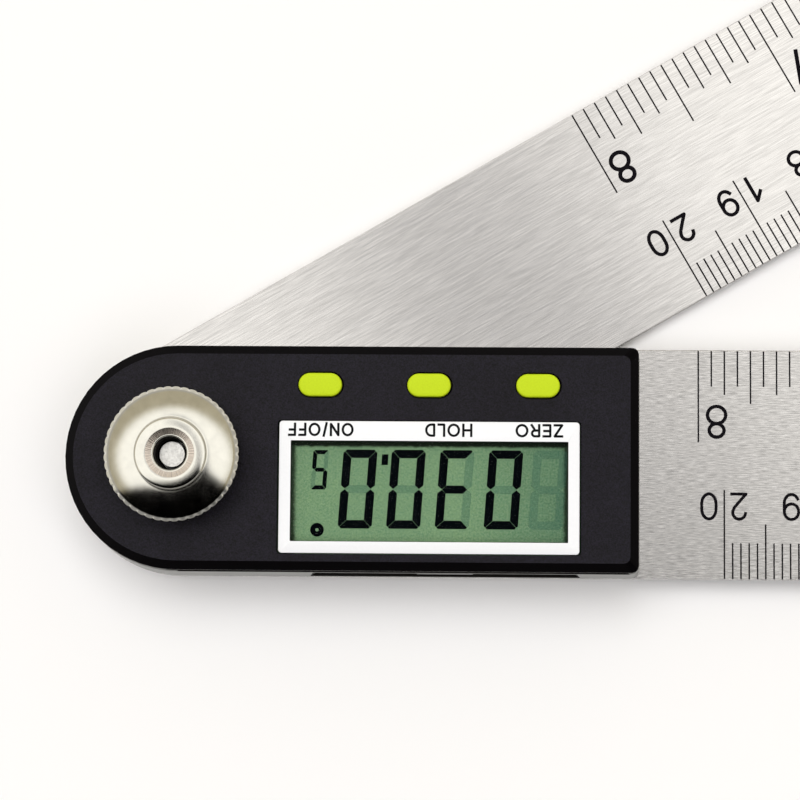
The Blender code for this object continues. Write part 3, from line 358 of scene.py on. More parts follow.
class Surface(Nodes):
    """A Principled material and the nodes that feed it. Noise has its scale per metre."""

    def __init__(self, name, colour, roughness, metallic=0.0, **values):
        self.material = bpy.data.materials.new(name)
        self.material.use_nodes = True
        super().__init__(self.material.node_tree)
        self.shader = self.tree.nodes["Principled BSDF"]
        self.feed_all(self.shader, {"Base Color": colour, "Roughness": roughness, "Metallic": metallic})
        self.feed_all(self.shader, values)

    def place(self, stretch=(1.0, 1.0, 1.0), turn=0.0):
        """The object's own coordinates, turned about Z and then stretched."""
        coordinates = self.node("TexCoord").outputs["Object"]
        turned = self.node("Mapping", Vector=coordinates, Rotation=(0.0, 0.0, turn))
        return self.node("Mapping", Vector=turned.outputs[0], Scale=stretch).outputs[0]

    def noise(self, scale, detail=3.0, roughness=0.55, at=None):
        at = at or self.place()
        made = self.node("TexNoise", Vector=at, Scale=scale, Detail=detail, Roughness=roughness)
        return made.outputs["Fac"]

    def colour(self, value):
        self.feed(self.shader.inputs["Base Color"], value)

    def roughness(self, value):
        self.feed(self.shader.inputs["Roughness"], value)

    def bump(self, height, distance, strength=1.0):
        made = self.node("Bump", Height=height, Distance=distance, Strength=strength)
        self.feed(self.shader.inputs["Normal"], made.outputs[0])


# Brushed steel, with noise per metre for its streaks and for broader bands
STEEL = (0.73, 0.715, 0.71)
BRUSHED_ROUGHNESS = 0.22
STREAKS_ACROSS = 8200.0
BANDS_ACROSS = 2700.0
BANDS_ALONG = 200.0


def brushed(name, turn, along, contrast):
    """Steel brushed along the rule, whose reflections spread across the brushing."""
    s = Surface(name, STEEL, BRUSHED_ROUGHNESS, metallic=1.0, Anisotropic=0.85)
    fine_place = s.place((along, STREAKS_ACROSS, along), turn)
    fine = s.noise(1.0, detail=2.0, roughness=0.6, at=fine_place)
    broad_place = s.place((BANDS_ALONG, BANDS_ACROSS, BANDS_ALONG), turn)
    broad = s.noise(1.0, detail=3.0, roughness=0.6, at=broad_place)
    cloud = s.noise(45.0, detail=2.0)
    streaks = s.tones(fine, STEEL, dark=1.0 - contrast, light=1.0 + 0.9 * contrast)
    bands = s.tones(broad, STEEL, dark=0.94, light=1.05)
    both = s.mix(0.35, streaks, bands)
    s.colour(s.mix(s.spread(cloud, low=0.0, high=0.08), both, shade(STEEL, 0.9)))
    s.roughness(s.spread(broad, low=0.92 * BRUSHED_ROUGHNESS, high=1.08 * BRUSHED_ROUGHNESS))
    s.bump(fine, distance=0.003 * MM, strength=0.4)
    across = s.node("VectorTransform", Vector=(math.sin(turn), math.cos(turn), 0.0))
    across.vector_type = "VECTOR"
    across.convert_from = "OBJECT"
    across.convert_to = "WORLD"
    s.feed(s.shader.inputs["Tangent"], across.outputs[0])
    return s.material


def grained(name, colour, roughness, grain, depth, contrast, **values):
    """A moulded or painted surface with a fine grain and a faint cloud of tone."""
    s = Surface(name, colour, roughness, **values)
    fine = s.noise(grain, detail=2.0)
    cloud = s.noise(120.0, detail=3.0)
    toned = s.tones(fine, colour, dark=1.0 - contrast, light=1.0 + contrast)
    s.colour(s.mix(s.spread(cloud, low=0.0, high=0.25), toned, shade(colour, 1.0 - contrast)))
    s.roughness(s.spread(cloud, low=0.93 * roughness, high=1.07 * roughness))
    s.bump(fine, depth)
    return s.material


def turned_metal(name, colour, roughness, pitch, depth):
    """Metal with fine rings left by a lathe about the pivot, and faint stains."""
    s = Surface(name, colour, roughness, metallic=1.0)
    around = s.node("TexCoord").outputs["Object"]
    rings = s.node("TexWave", Vector=around, Scale=1.0 / pitch, Distortion=1.5, Detail=2.0)
    rings.wave_type = "RINGS"
    rings.rings_direction = "Z"
    stain = s.noise(700.0, detail=4.0)
    s.colour(s.tones(stain, colour, dark=0.94, light=1.04))
    s.roughness(s.spread(stain, low=0.8 * roughness, high=1.25 * roughness))
    s.bump(rings.outputs["Fac"], depth, strength=0.6)
    return s.material


def chattered(name, colour, roughness, count):
    """Metal cut with a tool that chattered: fine light and dark rays round the part's own Z."""
    s = Surface(name, colour, roughness, metallic=1.0)
    angle = s.node("TexGradient", Vector=s.place())
    angle.gradient_type = "RADIAL"
    around = s.times(angle.outputs["Fac"], count)
    rays = s.noise(1.0, detail=3.0, roughness=0.6, at=s.node("CombineXYZ", X=around).outputs[0])
    s.colour(s.tones(rays, colour, dark=0.62, light=1.25))
    s.roughness(s.spread(rays, low=1.3 * roughness, high=0.8 * roughness))
    s.bump(rays, distance=0.02 * MM)
    return s.material


def rim_shade(s):
    """The painted shadow of the frame on the display's edge: strong at the high Y side, softer at both ends.
    """
    split = s.node("SeparateXYZ", Vector=s.place())
    ragged = s.times(s.minus(s.noise(1800.0, detail=2.0), 0.5), SHADE_RAGGED)
    dark = 0.0
    for axis, clear, black, share in DISPLAY_EDGE_SHADOWS:
        edge = s.rise(s.plus(split.outputs[axis], ragged), (clear * MM, black * MM), share)
        dark = s.calculate("MAXIMUM", edge, dark)
    return dark


# The display's greens: in general, at both ends with painted shade towards high X, in drifts and blotches,
# in its grain, and the painted shadow at its rim
GLASS = (0.20, 0.35, 0.18)
GLASS_LOW_X = (0.215, 0.375, 0.190)
GLASS_HIGH_X = (0.076, 0.180, 0.100)
GLASS_SHADE_SPAN = (32.0 * MM, 46.5 * MM)
GLASS_DRIFT = (0.140, 0.290, 0.165)
GLASS_BLOTCH = (0.105, 0.260, 0.180)
GLASS_DARK_GRAIN = (0.07, 0.17, 0.08)
GLASS_LIGHT_GRAIN = (0.42, 0.56, 0.33)
GLASS_RIM_SHADOW = (0.006, 0.010, 0.006)


def display_glass():
    """Reflective grey-green display, with painted shade that darkens it towards its high X end, and a fine
    sparkle.
    """
    s = Surface("display_glass_green", GLASS, roughness=0.40, Specular_IOR_Level=0.04)
    x = s.node("SeparateXYZ", Vector=s.place()).outputs["X"]
    drift = s.noise(160.0, detail=2.0)
    grain = s.noise(4300.0, detail=2.0)
    blotch = s.noise(2300.0, detail=2.0)
    # Painted shade: the green darkens from low X towards high X
    green = s.mix(s.rise(x, GLASS_SHADE_SPAN), GLASS_LOW_X, GLASS_HIGH_X)
    green = s.mix(s.spread(drift, low=0.0, high=0.5), green, GLASS_DRIFT)
    green = s.mix(s.spread(blotch, low=0.0, high=0.30), green, GLASS_BLOTCH)
    duller = s.mix(0.30, green, GLASS_DARK_GRAIN)
    brighter = s.mix(0.30, green, GLASS_LIGHT_GRAIN)
    green = s.mix(s.spread(grain, low=0.0, high=1.0), duller, brighter)
    # Painted shadow: the display darkens to near-black at its edges inside the frame
    s.colour(s.mix(rim_shade(s), green, GLASS_RIM_SHADOW))
    s.roughness(s.spread(grain, low=0.36, high=0.44))
    return s.material


def clear_window():
    """Thin clear window: it lets most light through and keeps a faint gloss."""
    s = Surface("clear_window_gloss", (0.004, 0.005, 0.004), roughness=0.06, Alpha=0.05,
                Specular_IOR_Level=0.2)
    s.bump(s.noise(300.0, detail=2.0), distance=0.001 * MM)
    return s.material


materials = {
    "upper_rule": brushed("brushed_steel_upper", turn=0.0, along=800.0, contrast=0.52),
    "lower_rule": brushed("brushed_steel_lower", turn=-ARM_ANGLE, along=300.0, contrast=0.28),
    "ink": grained("black_filled_marks", (0.005, 0.004, 0.006), roughness=0.55, grain=9000.0,
                   depth=0.002 * MM, contrast=0.3, Specular_IOR_Level=0.05),
    "label_ink": grained("label_print", (0.004, 0.004, 0.005), roughness=0.5, grain=9000.0,
                         depth=0.001 * MM, contrast=0.2, Specular_IOR_Level=0.1),
    "cover": grained("black_cover_grain", (0.0066, 0.0054, 0.0108), roughness=0.42, grain=6500.0,
                     depth=0.038 * MM, contrast=0.95, Specular_IOR_Level=0.24),
    # Painted shade: a darker, duller copy of the cover's black for its slopes and sides
    "cover_edge": grained("painted_shade_cover_sides", (0.0012, 0.0008, 0.0012), roughness=0.22, grain=5200.0,
                          depth=0.002 * MM, contrast=0.2, Specular_IOR_Level=0.03),
    # Painted shade: near-black for the white frame's window walls
    "window_edge": grained("painted_shade_window_wall", (0.004, 0.004, 0.004), roughness=0.5, grain=5200.0,
                           depth=0.002 * MM, contrast=0.2, Specular_IOR_Level=0.1),
    # Painted shade: near-black for the knob's bore wall, the drawer's slot and the keys' feet
    "mouth": grained("painted_shade_recess", (0.010, 0.009, 0.008), roughness=0.6, grain=3000.0,
                     depth=0.01 * MM, contrast=0.3, Specular_IOR_Level=0.1),
    "machined": chattered("machined_ring", (0.60, 0.53, 0.47), roughness=0.26, count=110.0),
    "stud": grained("stud_end", (0.92, 0.91, 0.89), roughness=0.36, grain=2600.0,
                    depth=0.03 * MM, contrast=0.20, metallic=1.0),
    "shell": grained("silver_shell_paint", (0.28, 0.28, 0.27), roughness=0.38, grain=8000.0,
                     depth=0.003 * MM, contrast=0.06, metallic=0.6),
    "bezel": grained("white_bezel_gloss", (0.89, 0.90, 0.92), roughness=0.30, grain=3000.0,
                     depth=0.002 * MM, contrast=0.012),
    "lime": grained("lime_rubber_satin", (0.545, 0.70, 0.012), roughness=0.45, grain=5000.0,
                    depth=0.006 * MM, contrast=0.04, Specular_IOR_Level=0.2),
    "tray": grained("grey_tray_moulding", (0.17, 0.17, 0.17), roughness=0.42, grain=5000.0,
                    depth=0.006 * MM, contrast=0.10),
    "nylon": grained("natural_nylon", (0.78, 0.78, 0.74), roughness=0.42, grain=3000.0,
                     depth=0.004 * MM, contrast=0.03),
    "board": grained("board_green_mask", (0.03, 0.17, 0.08), roughness=0.35, grain=2500.0,
                     depth=0.006 * MM, contrast=0.15),
    "elastomer": grained("grey_elastomer_rib", (0.25, 0.25, 0.26), roughness=0.60, grain=4000.0,
                         depth=0.010 * MM, contrast=0.12),
    "epoxy": grained("black_epoxy_chip", (0.015, 0.015, 0.016), roughness=0.50, grain=6000.0,
                     depth=0.006 * MM, contrast=0.2),
    "brass": turned_metal("rolled_brass", (0.72, 0.52, 0.22), roughness=0.28, pitch=0.4 * MM,
                          depth=0.002 * MM),
    "spring": turned_metal("rolled_spring_steel", (0.50, 0.50, 0.49), roughness=0.30, pitch=0.5 * MM,
                           depth=0.002 * MM),
    "turned": turned_metal("turned_steel_rings", (0.66, 0.65, 0.64), roughness=0.28, pitch=0.16 * MM,
                           depth=0.003 * MM),
    "cell": turned_metal("cell_can_steel", (0.66, 0.66, 0.65), roughness=0.26, pitch=0.5 * MM,
                         depth=0.002 * MM),
    "nickel": turned_metal("bright_nickel_plate", (0.68, 0.665, 0.61), roughness=0.11, pitch=0.30 * MM,
                           depth=0.0014 * MM),
    "lit_segment": grained("dark_segments", (0.0012, 0.0022, 0.0032), roughness=0.5, grain=9000.0,
                           depth=0.001 * MM, contrast=0.2, Specular_IOR_Level=0.0),
    "ghost_segment": grained("unlit_segments", (0.095, 0.265, 0.185), roughness=0.4, grain=3000.0,
                             depth=0.001 * MM, contrast=0.1, Specular_IOR_Level=0.05, Alpha=0.25),
    "display": display_glass(),
    "window": clear_window(),
    "floor": Surface("studio_floor", FLOOR_COLOUR, roughness=0.9, Specular_IOR_Level=0.0).material,
}

NODES_BY_FINISH = {
    "upper_rule": ["upper_rule"],
    "lower_rule": ["lower_rule"],
    "cover": ["top_cover"],
    "shell": ["lower_shell"],
    "bezel": ["display_bezel"],
    "window": ["window_lens"],
    "display": ["lcd_panel"],
    "lime": ["on_off_button", "hold_button", "zero_button"],
    "tray": ["battery_drawer"],
    "nickel": ["lock_knob"],
    "turned": ["pivot_post", "pivot_foot", "clamp_washer",
               "housing_screw_1", "housing_screw_2", "housing_screw_3", "housing_screw_4"],
    "nylon": ["spacer_washer", "rotor_hub"],
    "spring": ["wave_washer", "retaining_clip", "on_off_dome", "hold_dome", "zero_dome"],
    "brass": ["clamp_bushing", "top_contact", "rim_contact"],
    "board": ["circuit_board", "encoder_rotor"],
    "epoxy": ["encoder_chip"],
    "elastomer": ["elastomer_strip_low", "elastomer_strip_high"],
    "cell": ["coin_cell"],
}

# A face with more of its normal along Z than the first is level, with less than the second upright
LEVEL = 0.99
UPRIGHT = 0.9

# The shell's outer face on the near side has its normal's Y below this
OUTER_FACE = -0.9

# Edges sharper than this stay sharp when a piece is shaded smooth
SMOOTH_ANGLE = math.radians(40.0)
KNOB_SMOOTH_ANGLE = math.radians(50.0)
STUD_SMOOTH_ANGLE = math.radians(15.0)


def paint(thing, finish):
    thing.data.materials.clear()
    thing.data.materials.append(materials[finish])


def paint_faces(thing, finish, chosen):
    """Gives another finish to the faces that are chosen by their centre and normal."""
    thing.data.materials.append(materials[finish])
    for face in thing.data.polygons:
        if chosen(face.center, face.normal):
            face.material_index = len(thing.data.materials) - 1


def inside_slot(centre, normal):
    """Faces of the shell inside the drawer's slot."""
    in_length = SLOT_LEFT < centre.x < SLOT_RIGHT
    in_depth = SLOT_LIP < centre.y - NEAR_SIDE < SLOT_REACH
    return in_length and in_depth and normal.y > OUTER_FACE


def paint_nodes():
    for finish, nodes in NODES_BY_FINISH.items():
        for node in nodes:
            paint(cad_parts[node], finish)
    # The cover's sloped and upright faces take the darker copy, as painted shade
    paint_faces(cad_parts["top_cover"], "cover_edge", lambda centre, normal: normal.z < LEVEL)
    # Painted shade: the faces inside the drawer's slot are painted near-black
    paint_faces(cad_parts["lower_shell"], "mouth", inside_slot)


def soften_edges():
    """Rounds the sharp edges of the solids that keep their shape."""
    for node, width in SOFT_EDGES.items():
        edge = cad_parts[node].modifiers.new("soft_edges", "BEVEL")
        edge.width = width
        edge.segments = SOFT_EDGE_SEGMENTS
        edge.limit_method = "ANGLE"
        edge.angle_limit = SOFT_EDGE_ANGLE


def new_object(name, bm, finish, smooth=SMOOTH_ANGLE):
    bmesh.ops.recalc_face_normals(bm, faces=bm.faces)
    mesh = bpy.data.meshes.new(name)
    bm.to_mesh(mesh)
    bm.free()
    mesh.shade_smooth()
    mesh.set_sharp_from_angle(angle=smooth)
    made = bpy.data.objects.new(name, mesh)
    bpy.context.scene.collection.objects.link(made)
    paint(made, finish)
    return made


def new_piece(name, bm, finish, body, smooth=SMOOTH_ANGLE):
    """A modelled piece that rides on a body."""
    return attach(new_object(name, bm, finish, smooth), body)


def joined(loops, closed=False):
    """Walls between loops of as many points; without closed, the first and last are capped."""
    bm = bmesh.new()
    rows = [[bm.verts.new(p) for p in loop] for loop in loops]
    for low, high in zip(rows, rows[1:] + rows[:1] if closed else rows[1:]):
        for i in range(len(low)):
            j = (i + 1) % len(low)
            bm.faces.new((low[i], low[j], high[j], high[i]))
    if not closed:
        bm.faces.new(list(reversed(rows[0])))
        bm.faces.new(rows[-1])
    return bm


# Steps of a half turn in a letter's stroke, sides of its round joins, and reach of its square ends
STROKE_STEPS = 14
JOIN_SIDES = 12
END_CAP = 0.97
SHORTEST_STROKE = 0.001 * MM


def arc(x, y, radius_x, radius_y, start, end, steps=STROKE_STEPS):
    """Points along an arc of an ellipse, both ends included; angles in degrees."""
    turns = [math.radians(start + (end - start) * i / steps) for i in range(steps + 1)]
    return [(x + radius_x * math.cos(t), y + radius_y * math.sin(t)) for t in turns]


def ring(x, y, radius_x, radius_y):
    return arc(x, y, radius_x, radius_y, 90, 450, 2 * STROKE_STEPS)


def oval(width, shoulder):
    """An upright oval with short straight sides."""
    half = width / 2
    top = arc(half, 1.0 - shoulder, half, shoulder, 0, 180)
    return top + arc(half, shoulder, half, shoulder, 180, 360) + top[:1]


# Each glyph's width and strokes, in units of the height between its lowest and highest strokes'
# middles. A stroke is a list of points, and a closed one ends on its first point.
DIGIT_WIDTH = 0.57
MIDDLE = DIGIT_WIDTH / 2
BIG_LOOP = 0.281
SMALL_LOOP = 0.219
GLYPHS = {
    "0": (DIGIT_WIDTH, [oval(DIGIT_WIDTH, 0.40)]),
    "1": (0.22, [[(0.20, 0.0), (0.20, 1.0), (-0.08, 0.70)]]),
    "2": (DIGIT_WIDTH, [arc(MIDDLE - 0.01, 0.735, 0.255, 0.265, 172, -8)
                        + [(0.47, 0.55), (0.30, 0.34), (0.0, 0.0), (DIGIT_WIDTH, 0.0)]]),
    "3": (DIGIT_WIDTH, [arc(MIDDLE - 0.02, 0.765, 0.235, 0.235, 165, -70)
                        + arc(MIDDLE - 0.01, 0.275, 0.285, 0.275, 75, -165, 16)]),
    "4": (DIGIT_WIDTH, [[(0.42, 0.0), (0.42, 1.0), (0.0, 0.27), (DIGIT_WIDTH, 0.27)]]),
    "5": (DIGIT_WIDTH, [[(0.50, 1.0), (0.10, 1.0), (0.045, 0.55)]
                        + arc(MIDDLE - 0.02, 0.315, 0.285, 0.315, 130, -155, 18)]),
    "6": (DIGIT_WIDTH, [ring(MIDDLE, 0.31, MIDDLE, 0.31),
                        [(0.0, 0.31)] + arc(MIDDLE, 0.64, MIDDLE, 0.36, 180, 30)]),
    "7": (DIGIT_WIDTH, [[(0.0, 1.0), (DIGIT_WIDTH, 1.0), (0.19, 0.0)]]),
    "8": (DIGIT_WIDTH, [ring(MIDDLE, BIG_LOOP, 0.295, BIG_LOOP),
                        ring(MIDDLE, 2 * BIG_LOOP + SMALL_LOOP, 0.240, SMALL_LOOP)]),
    "9": (DIGIT_WIDTH, [ring(MIDDLE, 0.69, MIDDLE, 0.31),
                        [(DIGIT_WIDTH, 0.69)] + arc(MIDDLE, 0.36, MIDDLE, 0.36, 0, -150)]),
    "O": (0.86, [oval(0.86, 0.5)]),
    "N": (0.66, [[(0.0, 0.0), (0.0, 1.0), (0.66, 0.0), (0.66, 1.0)]]),
    "F": (0.52, [[(0.0, 0.0), (0.0, 1.0), (0.52, 1.0)], [(0.0, 0.52), (0.46, 0.52)]]),
    "/": (0.24, [[(0.0, -0.06), (0.24, 1.06)]]),
    "H": (0.66, [[(0.0, 0.0), (0.0, 1.0)], [(0.0, 0.5), (0.66, 0.5)], [(0.66, 0.0), (0.66, 1.0)]]),
    "L": (0.46, [[(0.0, 1.0), (0.0, 0.0), (0.46, 0.0)]]),
    "D": (0.66, [[(0.0, 1.0), (0.0, 0.0)] + arc(0.22, 0.5, 0.44, 0.5, -90, 90) + [(0.0, 1.0)]]),
    "Z": (0.60, [[(0.0, 1.0), (0.60, 1.0), (0.0, 0.0), (0.60, 0.0)]]),
    "E": (0.54, [[(0.54, 1.0), (0.0, 1.0), (0.0, 0.0), (0.54, 0.0)], [(0.0, 0.52), (0.48, 0.52)]]),
    "R": (0.60, [[(0.0, 0.0), (0.0, 1.0)] + arc(0.34, 0.74, 0.24, 0.26, 90, -90, 10) + [(0.0, 0.48)],
                 [(0.32, 0.48), (0.60, 0.0)]]),
}


def lengthened(start, end, by):
    """The end point of a line, moved on by a length."""
    share = by / math.dist(start, end)
    return end[0] + (end[0] - start[0]) * share, end[1] + (end[1] - start[1]) * share


def ribbon(points, half):
    """The rectangles and round joins that a stroke of a line covers; an open stroke has square ends."""
    points = [p for i, p in enumerate(points) if i == 0 or math.dist(p, points[i - 1]) > SHORTEST_STROKE]
    joins = points
    if math.dist(points[0], points[-1]) > SHORTEST_STROKE:
        joins = points[1:-1]
        first = lengthened(points[1], points[0], half * END_CAP)
        last = lengthened(points[-2], points[-1], half * END_CAP)
        points = [first, *joins, last]
    shapes = []
    for (x0, y0), (x1, y1) in zip(points, points[1:]):
        length = math.hypot(x1 - x0, y1 - y0)
        dx, dy = (x1 - x0) / length * half, (y1 - y0) / length * half
        shapes.append([(x0 + dy, y0 - dx), (x1 + dy, y1 - dx), (x1 - dy, y1 + dx), (x0 - dy, y0 + dx)])
    last_corner = 360 - 360 / JOIN_SIDES
    return shapes + [arc(x, y, half, half, 0, last_corner, JOIN_SIDES - 1) for x, y in joins]


def written(text, height, stroke, gap=0.0, width=1.0):
    """Shapes of a line of text from its lower left corner, and its length; width stretches the glyphs."""
    shapes, x = [], 0.0
    inner = height - stroke
    for glyph in text:
        glyph_width, strokes = GLYPHS[glyph]
        for points in strokes:
            line = [(x + stroke / 2 + px * inner * width, stroke / 2 + py * inner) for px, py in points]
            shapes += ribbon(line, stroke / 2)
        x += glyph_width * inner * width + stroke + gap
    return shapes, x - gap


def placed(shapes, matrix):
    return [[tuple((matrix @ Vector((x, y, 0.0))).xy) for x, y in shape] for shape in shapes]


def upside_down(shapes, x, y):
    """Shapes turned by half a turn, their own origin put at x, y."""
    return placed(shapes, Matrix.Translation((x, y, 0.0)) @ Matrix.Rotation(math.pi, 4, "Z"))


# How the shapes of a plate are cut into faces: over their whole hull, and points nearer than this merge
WHOLE_HULL = 0
MERGE_DISTANCE = 1e-8


def anticlockwise(shape):
    area = sum(x0 * y1 - x1 * y0 for (x0, y0), (x1, y1) in zip(shape, shape[1:] + shape[:1]))
    return shape if area > 0.0 else shape[::-1]


def union_plate(shapes, bottom, top):
    """One closed plate over all the shapes, which may overlap."""
    shapes = [anticlockwise(shape) for shape in shapes]
    flat = [Vector(p) for shape in shapes for p in shape]
    faces, start = [], 0
    for shape in shapes:
        faces.append(list(range(start, start + len(shape))))
        start += len(shape)
    points, _, cells, _, _, origins = delaunay_2d_cdt(flat, [], faces, WHOLE_HULL, MERGE_DISTANCE)
    bm = bmesh.new()
    low = [bm.verts.new((p.x, p.y, bottom)) for p in points]
    high = [bm.verts.new((p.x, p.y, top)) for p in points]
    edges = set()
    for cell in [cell for cell, origin in zip(cells, origins) if origin]:
        bm.faces.new([high[i] for i in cell])
        bm.faces.new([low[i] for i in reversed(cell)])
        edges.update(zip(cell, cell[1:] + cell[:1]))
    for i, j in edges:
        if (j, i) not in edges:
            bm.faces.new((low[i], low[j], high[j], high[i]))
    bmesh.ops.delete(bm, geom=[v for v in low + high if not v.link_faces], context="VERTS")
    return bm


def printed(name, shapes, surface, finish, body):
    """A thin plate over the shapes, printed on a level surface."""
    return new_piece(name, union_plate(shapes, surface - INK_SUNK, surface + INK_THICKNESS), finish, body)


def scale_mark(at, side, length):
    """A graduation at that distance from the free end, from the edge of that side inwards."""
    x = RULE_REACH - at
    outer, inner = side * (RULE_HALF - EDGE_MARGIN), side * (RULE_HALF - length)
    low, high = min(outer, inner), max(outer, inner)
    half = LINE_WIDTH / 2
    return [(x - half, low), (x + half, low), (x + half, high), (x - half, high)]


def scale_marks(units, unit, side, shift, kinds, added):
    """A scale's marks, the first kind of them once in each unit and the others longer by added."""
    steps, marks = kinds[0][0], []
    for i in range(1, units * steps + 1):
        length = next(length for step, length in kinds if i % step == 0)
        if i % steps:
            length += added
        marks.append(scale_mark(i * unit / steps - shift, side, length))
    return marks


def metric_numerals(size, weight):
    """The centimetres' numerals, upside down: one digit beside its mark, two on either side of it."""
    height, stroke = METRIC_NUMERAL * size, METRIC_STROKE * weight
    foot = METRIC_NUMERAL - METRIC_NUMERAL_FOOT - height
    numerals = []
    for i in range(1, CENTIMETRES + 1):
        x = RULE_REACH - i * CENTIMETRE
        if i < 10:
            shapes, _ = written(str(i), height, stroke)
            numerals += upside_down(shapes, x + METRIC_NUMERAL_SIDE + height * DIGIT_WIDTH, foot)
        else:
            tens, width = written(str(i // 10), height, stroke)
            units, _ = written(str(i % 10), height, stroke)
            outwards = TENS_ONE_SHIFT if i // 10 == 1 else 0.0
            numerals += upside_down(tens, x + METRIC_NUMERAL_SIDE + outwards + width, foot)
            numerals += upside_down(units, x - METRIC_NUMERAL_SIDE, foot)
    return numerals


def inch_numerals(size, weight):
    numerals = []
    for i in range(1, INCHES + 1):
        shapes, width = written(str(i), INCH_NUMERAL * size, INCH_STROKE * weight)
        numerals += upside_down(shapes, RULE_REACH - i * INCH + INCH_NUMERAL_SIDE + width, INCH_NUMERAL_TOP)
    return numerals


def rule_scales(name, body, top, turn):
    """Both scales of a rule, as thin plates filled with black."""
    place = Matrix.Rotation(turn, 4, "Z")
    added, size, weight = PRINTS[name]
    scales = {
        "metric_marks": scale_marks(CENTIMETRES, CENTIMETRE, -1.0, METRIC_SHIFT, METRIC_MARKS, added),
        "inch_marks": scale_marks(INCHES, INCH, 1.0, INCH_SHIFT, INCH_MARKS, added),
        "metric_numerals": metric_numerals(size, weight),
        "inch_numerals": inch_numerals(size, weight),
    }
    for kind, shapes in scales.items():
        printed(f"{name}_{kind}", placed(shapes, place), top, "ink", body)


def rounded_loop(left, right, low, high, corner, z):
    """A rounded rectangle as points, as many for every corner radius."""
    loop = []
    for x, y, start in ((right - corner, high - corner, 0), (left + corner, high - corner, 90),
                        (left + corner, low + corner, 180), (right - corner, low + corner, 270)):
        loop += [(px, py, z) for px, py in arc(x, y, corner, corner, start, start + 90, CORNER_STEPS)]
    return loop


def grown(edges, by):
    return edges[0] - by, edges[1] + by, edges[2] - by, edges[3] + by


def faces_window(centre, normal):
    """Whether a face of the white frame is upright and turned towards the window's middle."""
    middle_x = (BEZEL_WINDOW[0] + BEZEL_WINDOW[1]) / 2
    middle_y = (BEZEL_WINDOW[2] + BEZEL_WINDOW[3]) / 2
    outwards = normal.x * (centre.x - middle_x) + normal.y * (centre.y - middle_y)
    return abs(normal.z) < UPRIGHT and outwards < 0.0


def display_bezel():
    """The white frame with round edges, up its outside and down the window's side."""
    sections = [
        (BEZEL_OUTSIDE, BEZEL_CORNER, BEZEL_BOTTOM),
        (BEZEL_OUTSIDE, BEZEL_CORNER, BEZEL_TOP - BEZEL_ROUNDING),
        (grown(BEZEL_OUTSIDE, -BEZEL_SHOULDER), BEZEL_EDGE_CORNER, BEZEL_TOP - BEZEL_SHOULDER),
        (grown(BEZEL_OUTSIDE, -BEZEL_ROUNDING), BEZEL_FACE_CORNER, BEZEL_TOP),
        (grown(BEZEL_WINDOW, WINDOW_ROUNDING), WINDOW_FACE_CORNER, BEZEL_TOP),
        (BEZEL_WINDOW, WINDOW_CORNER, BEZEL_TOP - WINDOW_ROUNDING),
        (BEZEL_WINDOW, WINDOW_CORNER, BEZEL_BOTTOM),
    ]
    bm = joined([rounded_loop(*edges, corner, z) for edges, corner, z in sections], closed=True)
    made = new_piece("soft_edged_bezel", bm, "bezel", "housing")
    # Painted shade: the frame's walls round the window are painted near-black
    paint_faces(made, "window_edge", faces_window)
    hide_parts("display_bezel")


def bezel_labels():
    """The words on the white frame, their glyphs stretched to fill each word's length."""
    shapes = []
    for text, (low, high) in LABELS.items():
        _, natural = written(text, LABEL_HEIGHT, LABEL_STROKE, LABEL_GAP)
        fixed = len(text) * LABEL_STROKE + (len(text) - 1) * LABEL_GAP
        width = ((high - low) * MM - fixed) / (natural - fixed)
        letters, _ = written(text, LABEL_HEIGHT, LABEL_STROKE, LABEL_GAP, width)
        shapes += upside_down(letters, high * MM, LABEL_FOOT)
    printed("bezel_labels", shapes, BEZEL_TOP, "label_ink", "housing")


def stadium(x, y, length, width, z):
    """A loop with round ends along X."""
    reach, radius = (length - width) / 2, width / 2
    right = arc(x + reach, y, radius, radius, -90, 90, KEY_END_STEPS)
    left = arc(x - reach, y, radius, radius, 90, 270, KEY_END_STEPS)
    return [(px, py, z) for px, py in right + left]


def key_cap(x, top):
    """Loops of a key's cap: straight sides, a round edge and a slightly domed face."""
    sections = [(0.0, KEY_FLANGE_TOP)]
    for i in range(KEY_EDGE_STEPS):
        turn = math.radians(90.0 * i / KEY_EDGE_STEPS)
        inward = 2 * KEY_ROUNDING * (1.0 - math.cos(turn))
        sections.append((inward, top - KEY_CROWN - KEY_ROUNDING * (1.0 - math.sin(turn))))
    sections.append((KEY_FACE_INSET, top))
    return [stadium(x, KEY_Y, KEY_LENGTH - inward, KEY_WIDTH - inward, z) for inward, z in sections]


def rubber_key(name):
    """A key: plunger, flange and cap."""
    low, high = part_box(f"{name}_button")
    x = (low.x + high.x) / 2
    flange_foot = KEY_FLANGE_TOP - KEY_FLANGE
    loops = [stadium(x, KEY_Y, PLUNGER_LENGTH, PLUNGER_WIDTH, z) for z in (low.z, flange_foot)]
    loops += [stadium(x, KEY_Y, high.x - low.x, high.y - low.y, z) for z in (flange_foot, KEY_FLANGE_TOP)]
    loops += key_cap(x - KEY_SHIFT, high.z)
    made = new_piece(f"{name}_rubber_key", joined(loops), "lime", f"{name}_key")
    # Painted shade: the key's foot, down in its hole, is painted near-black
    paint_faces(made, "mouth", lambda centre, normal: centre.z < KEY_FLANGE_TOP + KEY_SHADE_FOOT)
    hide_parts(f"{name}_button")


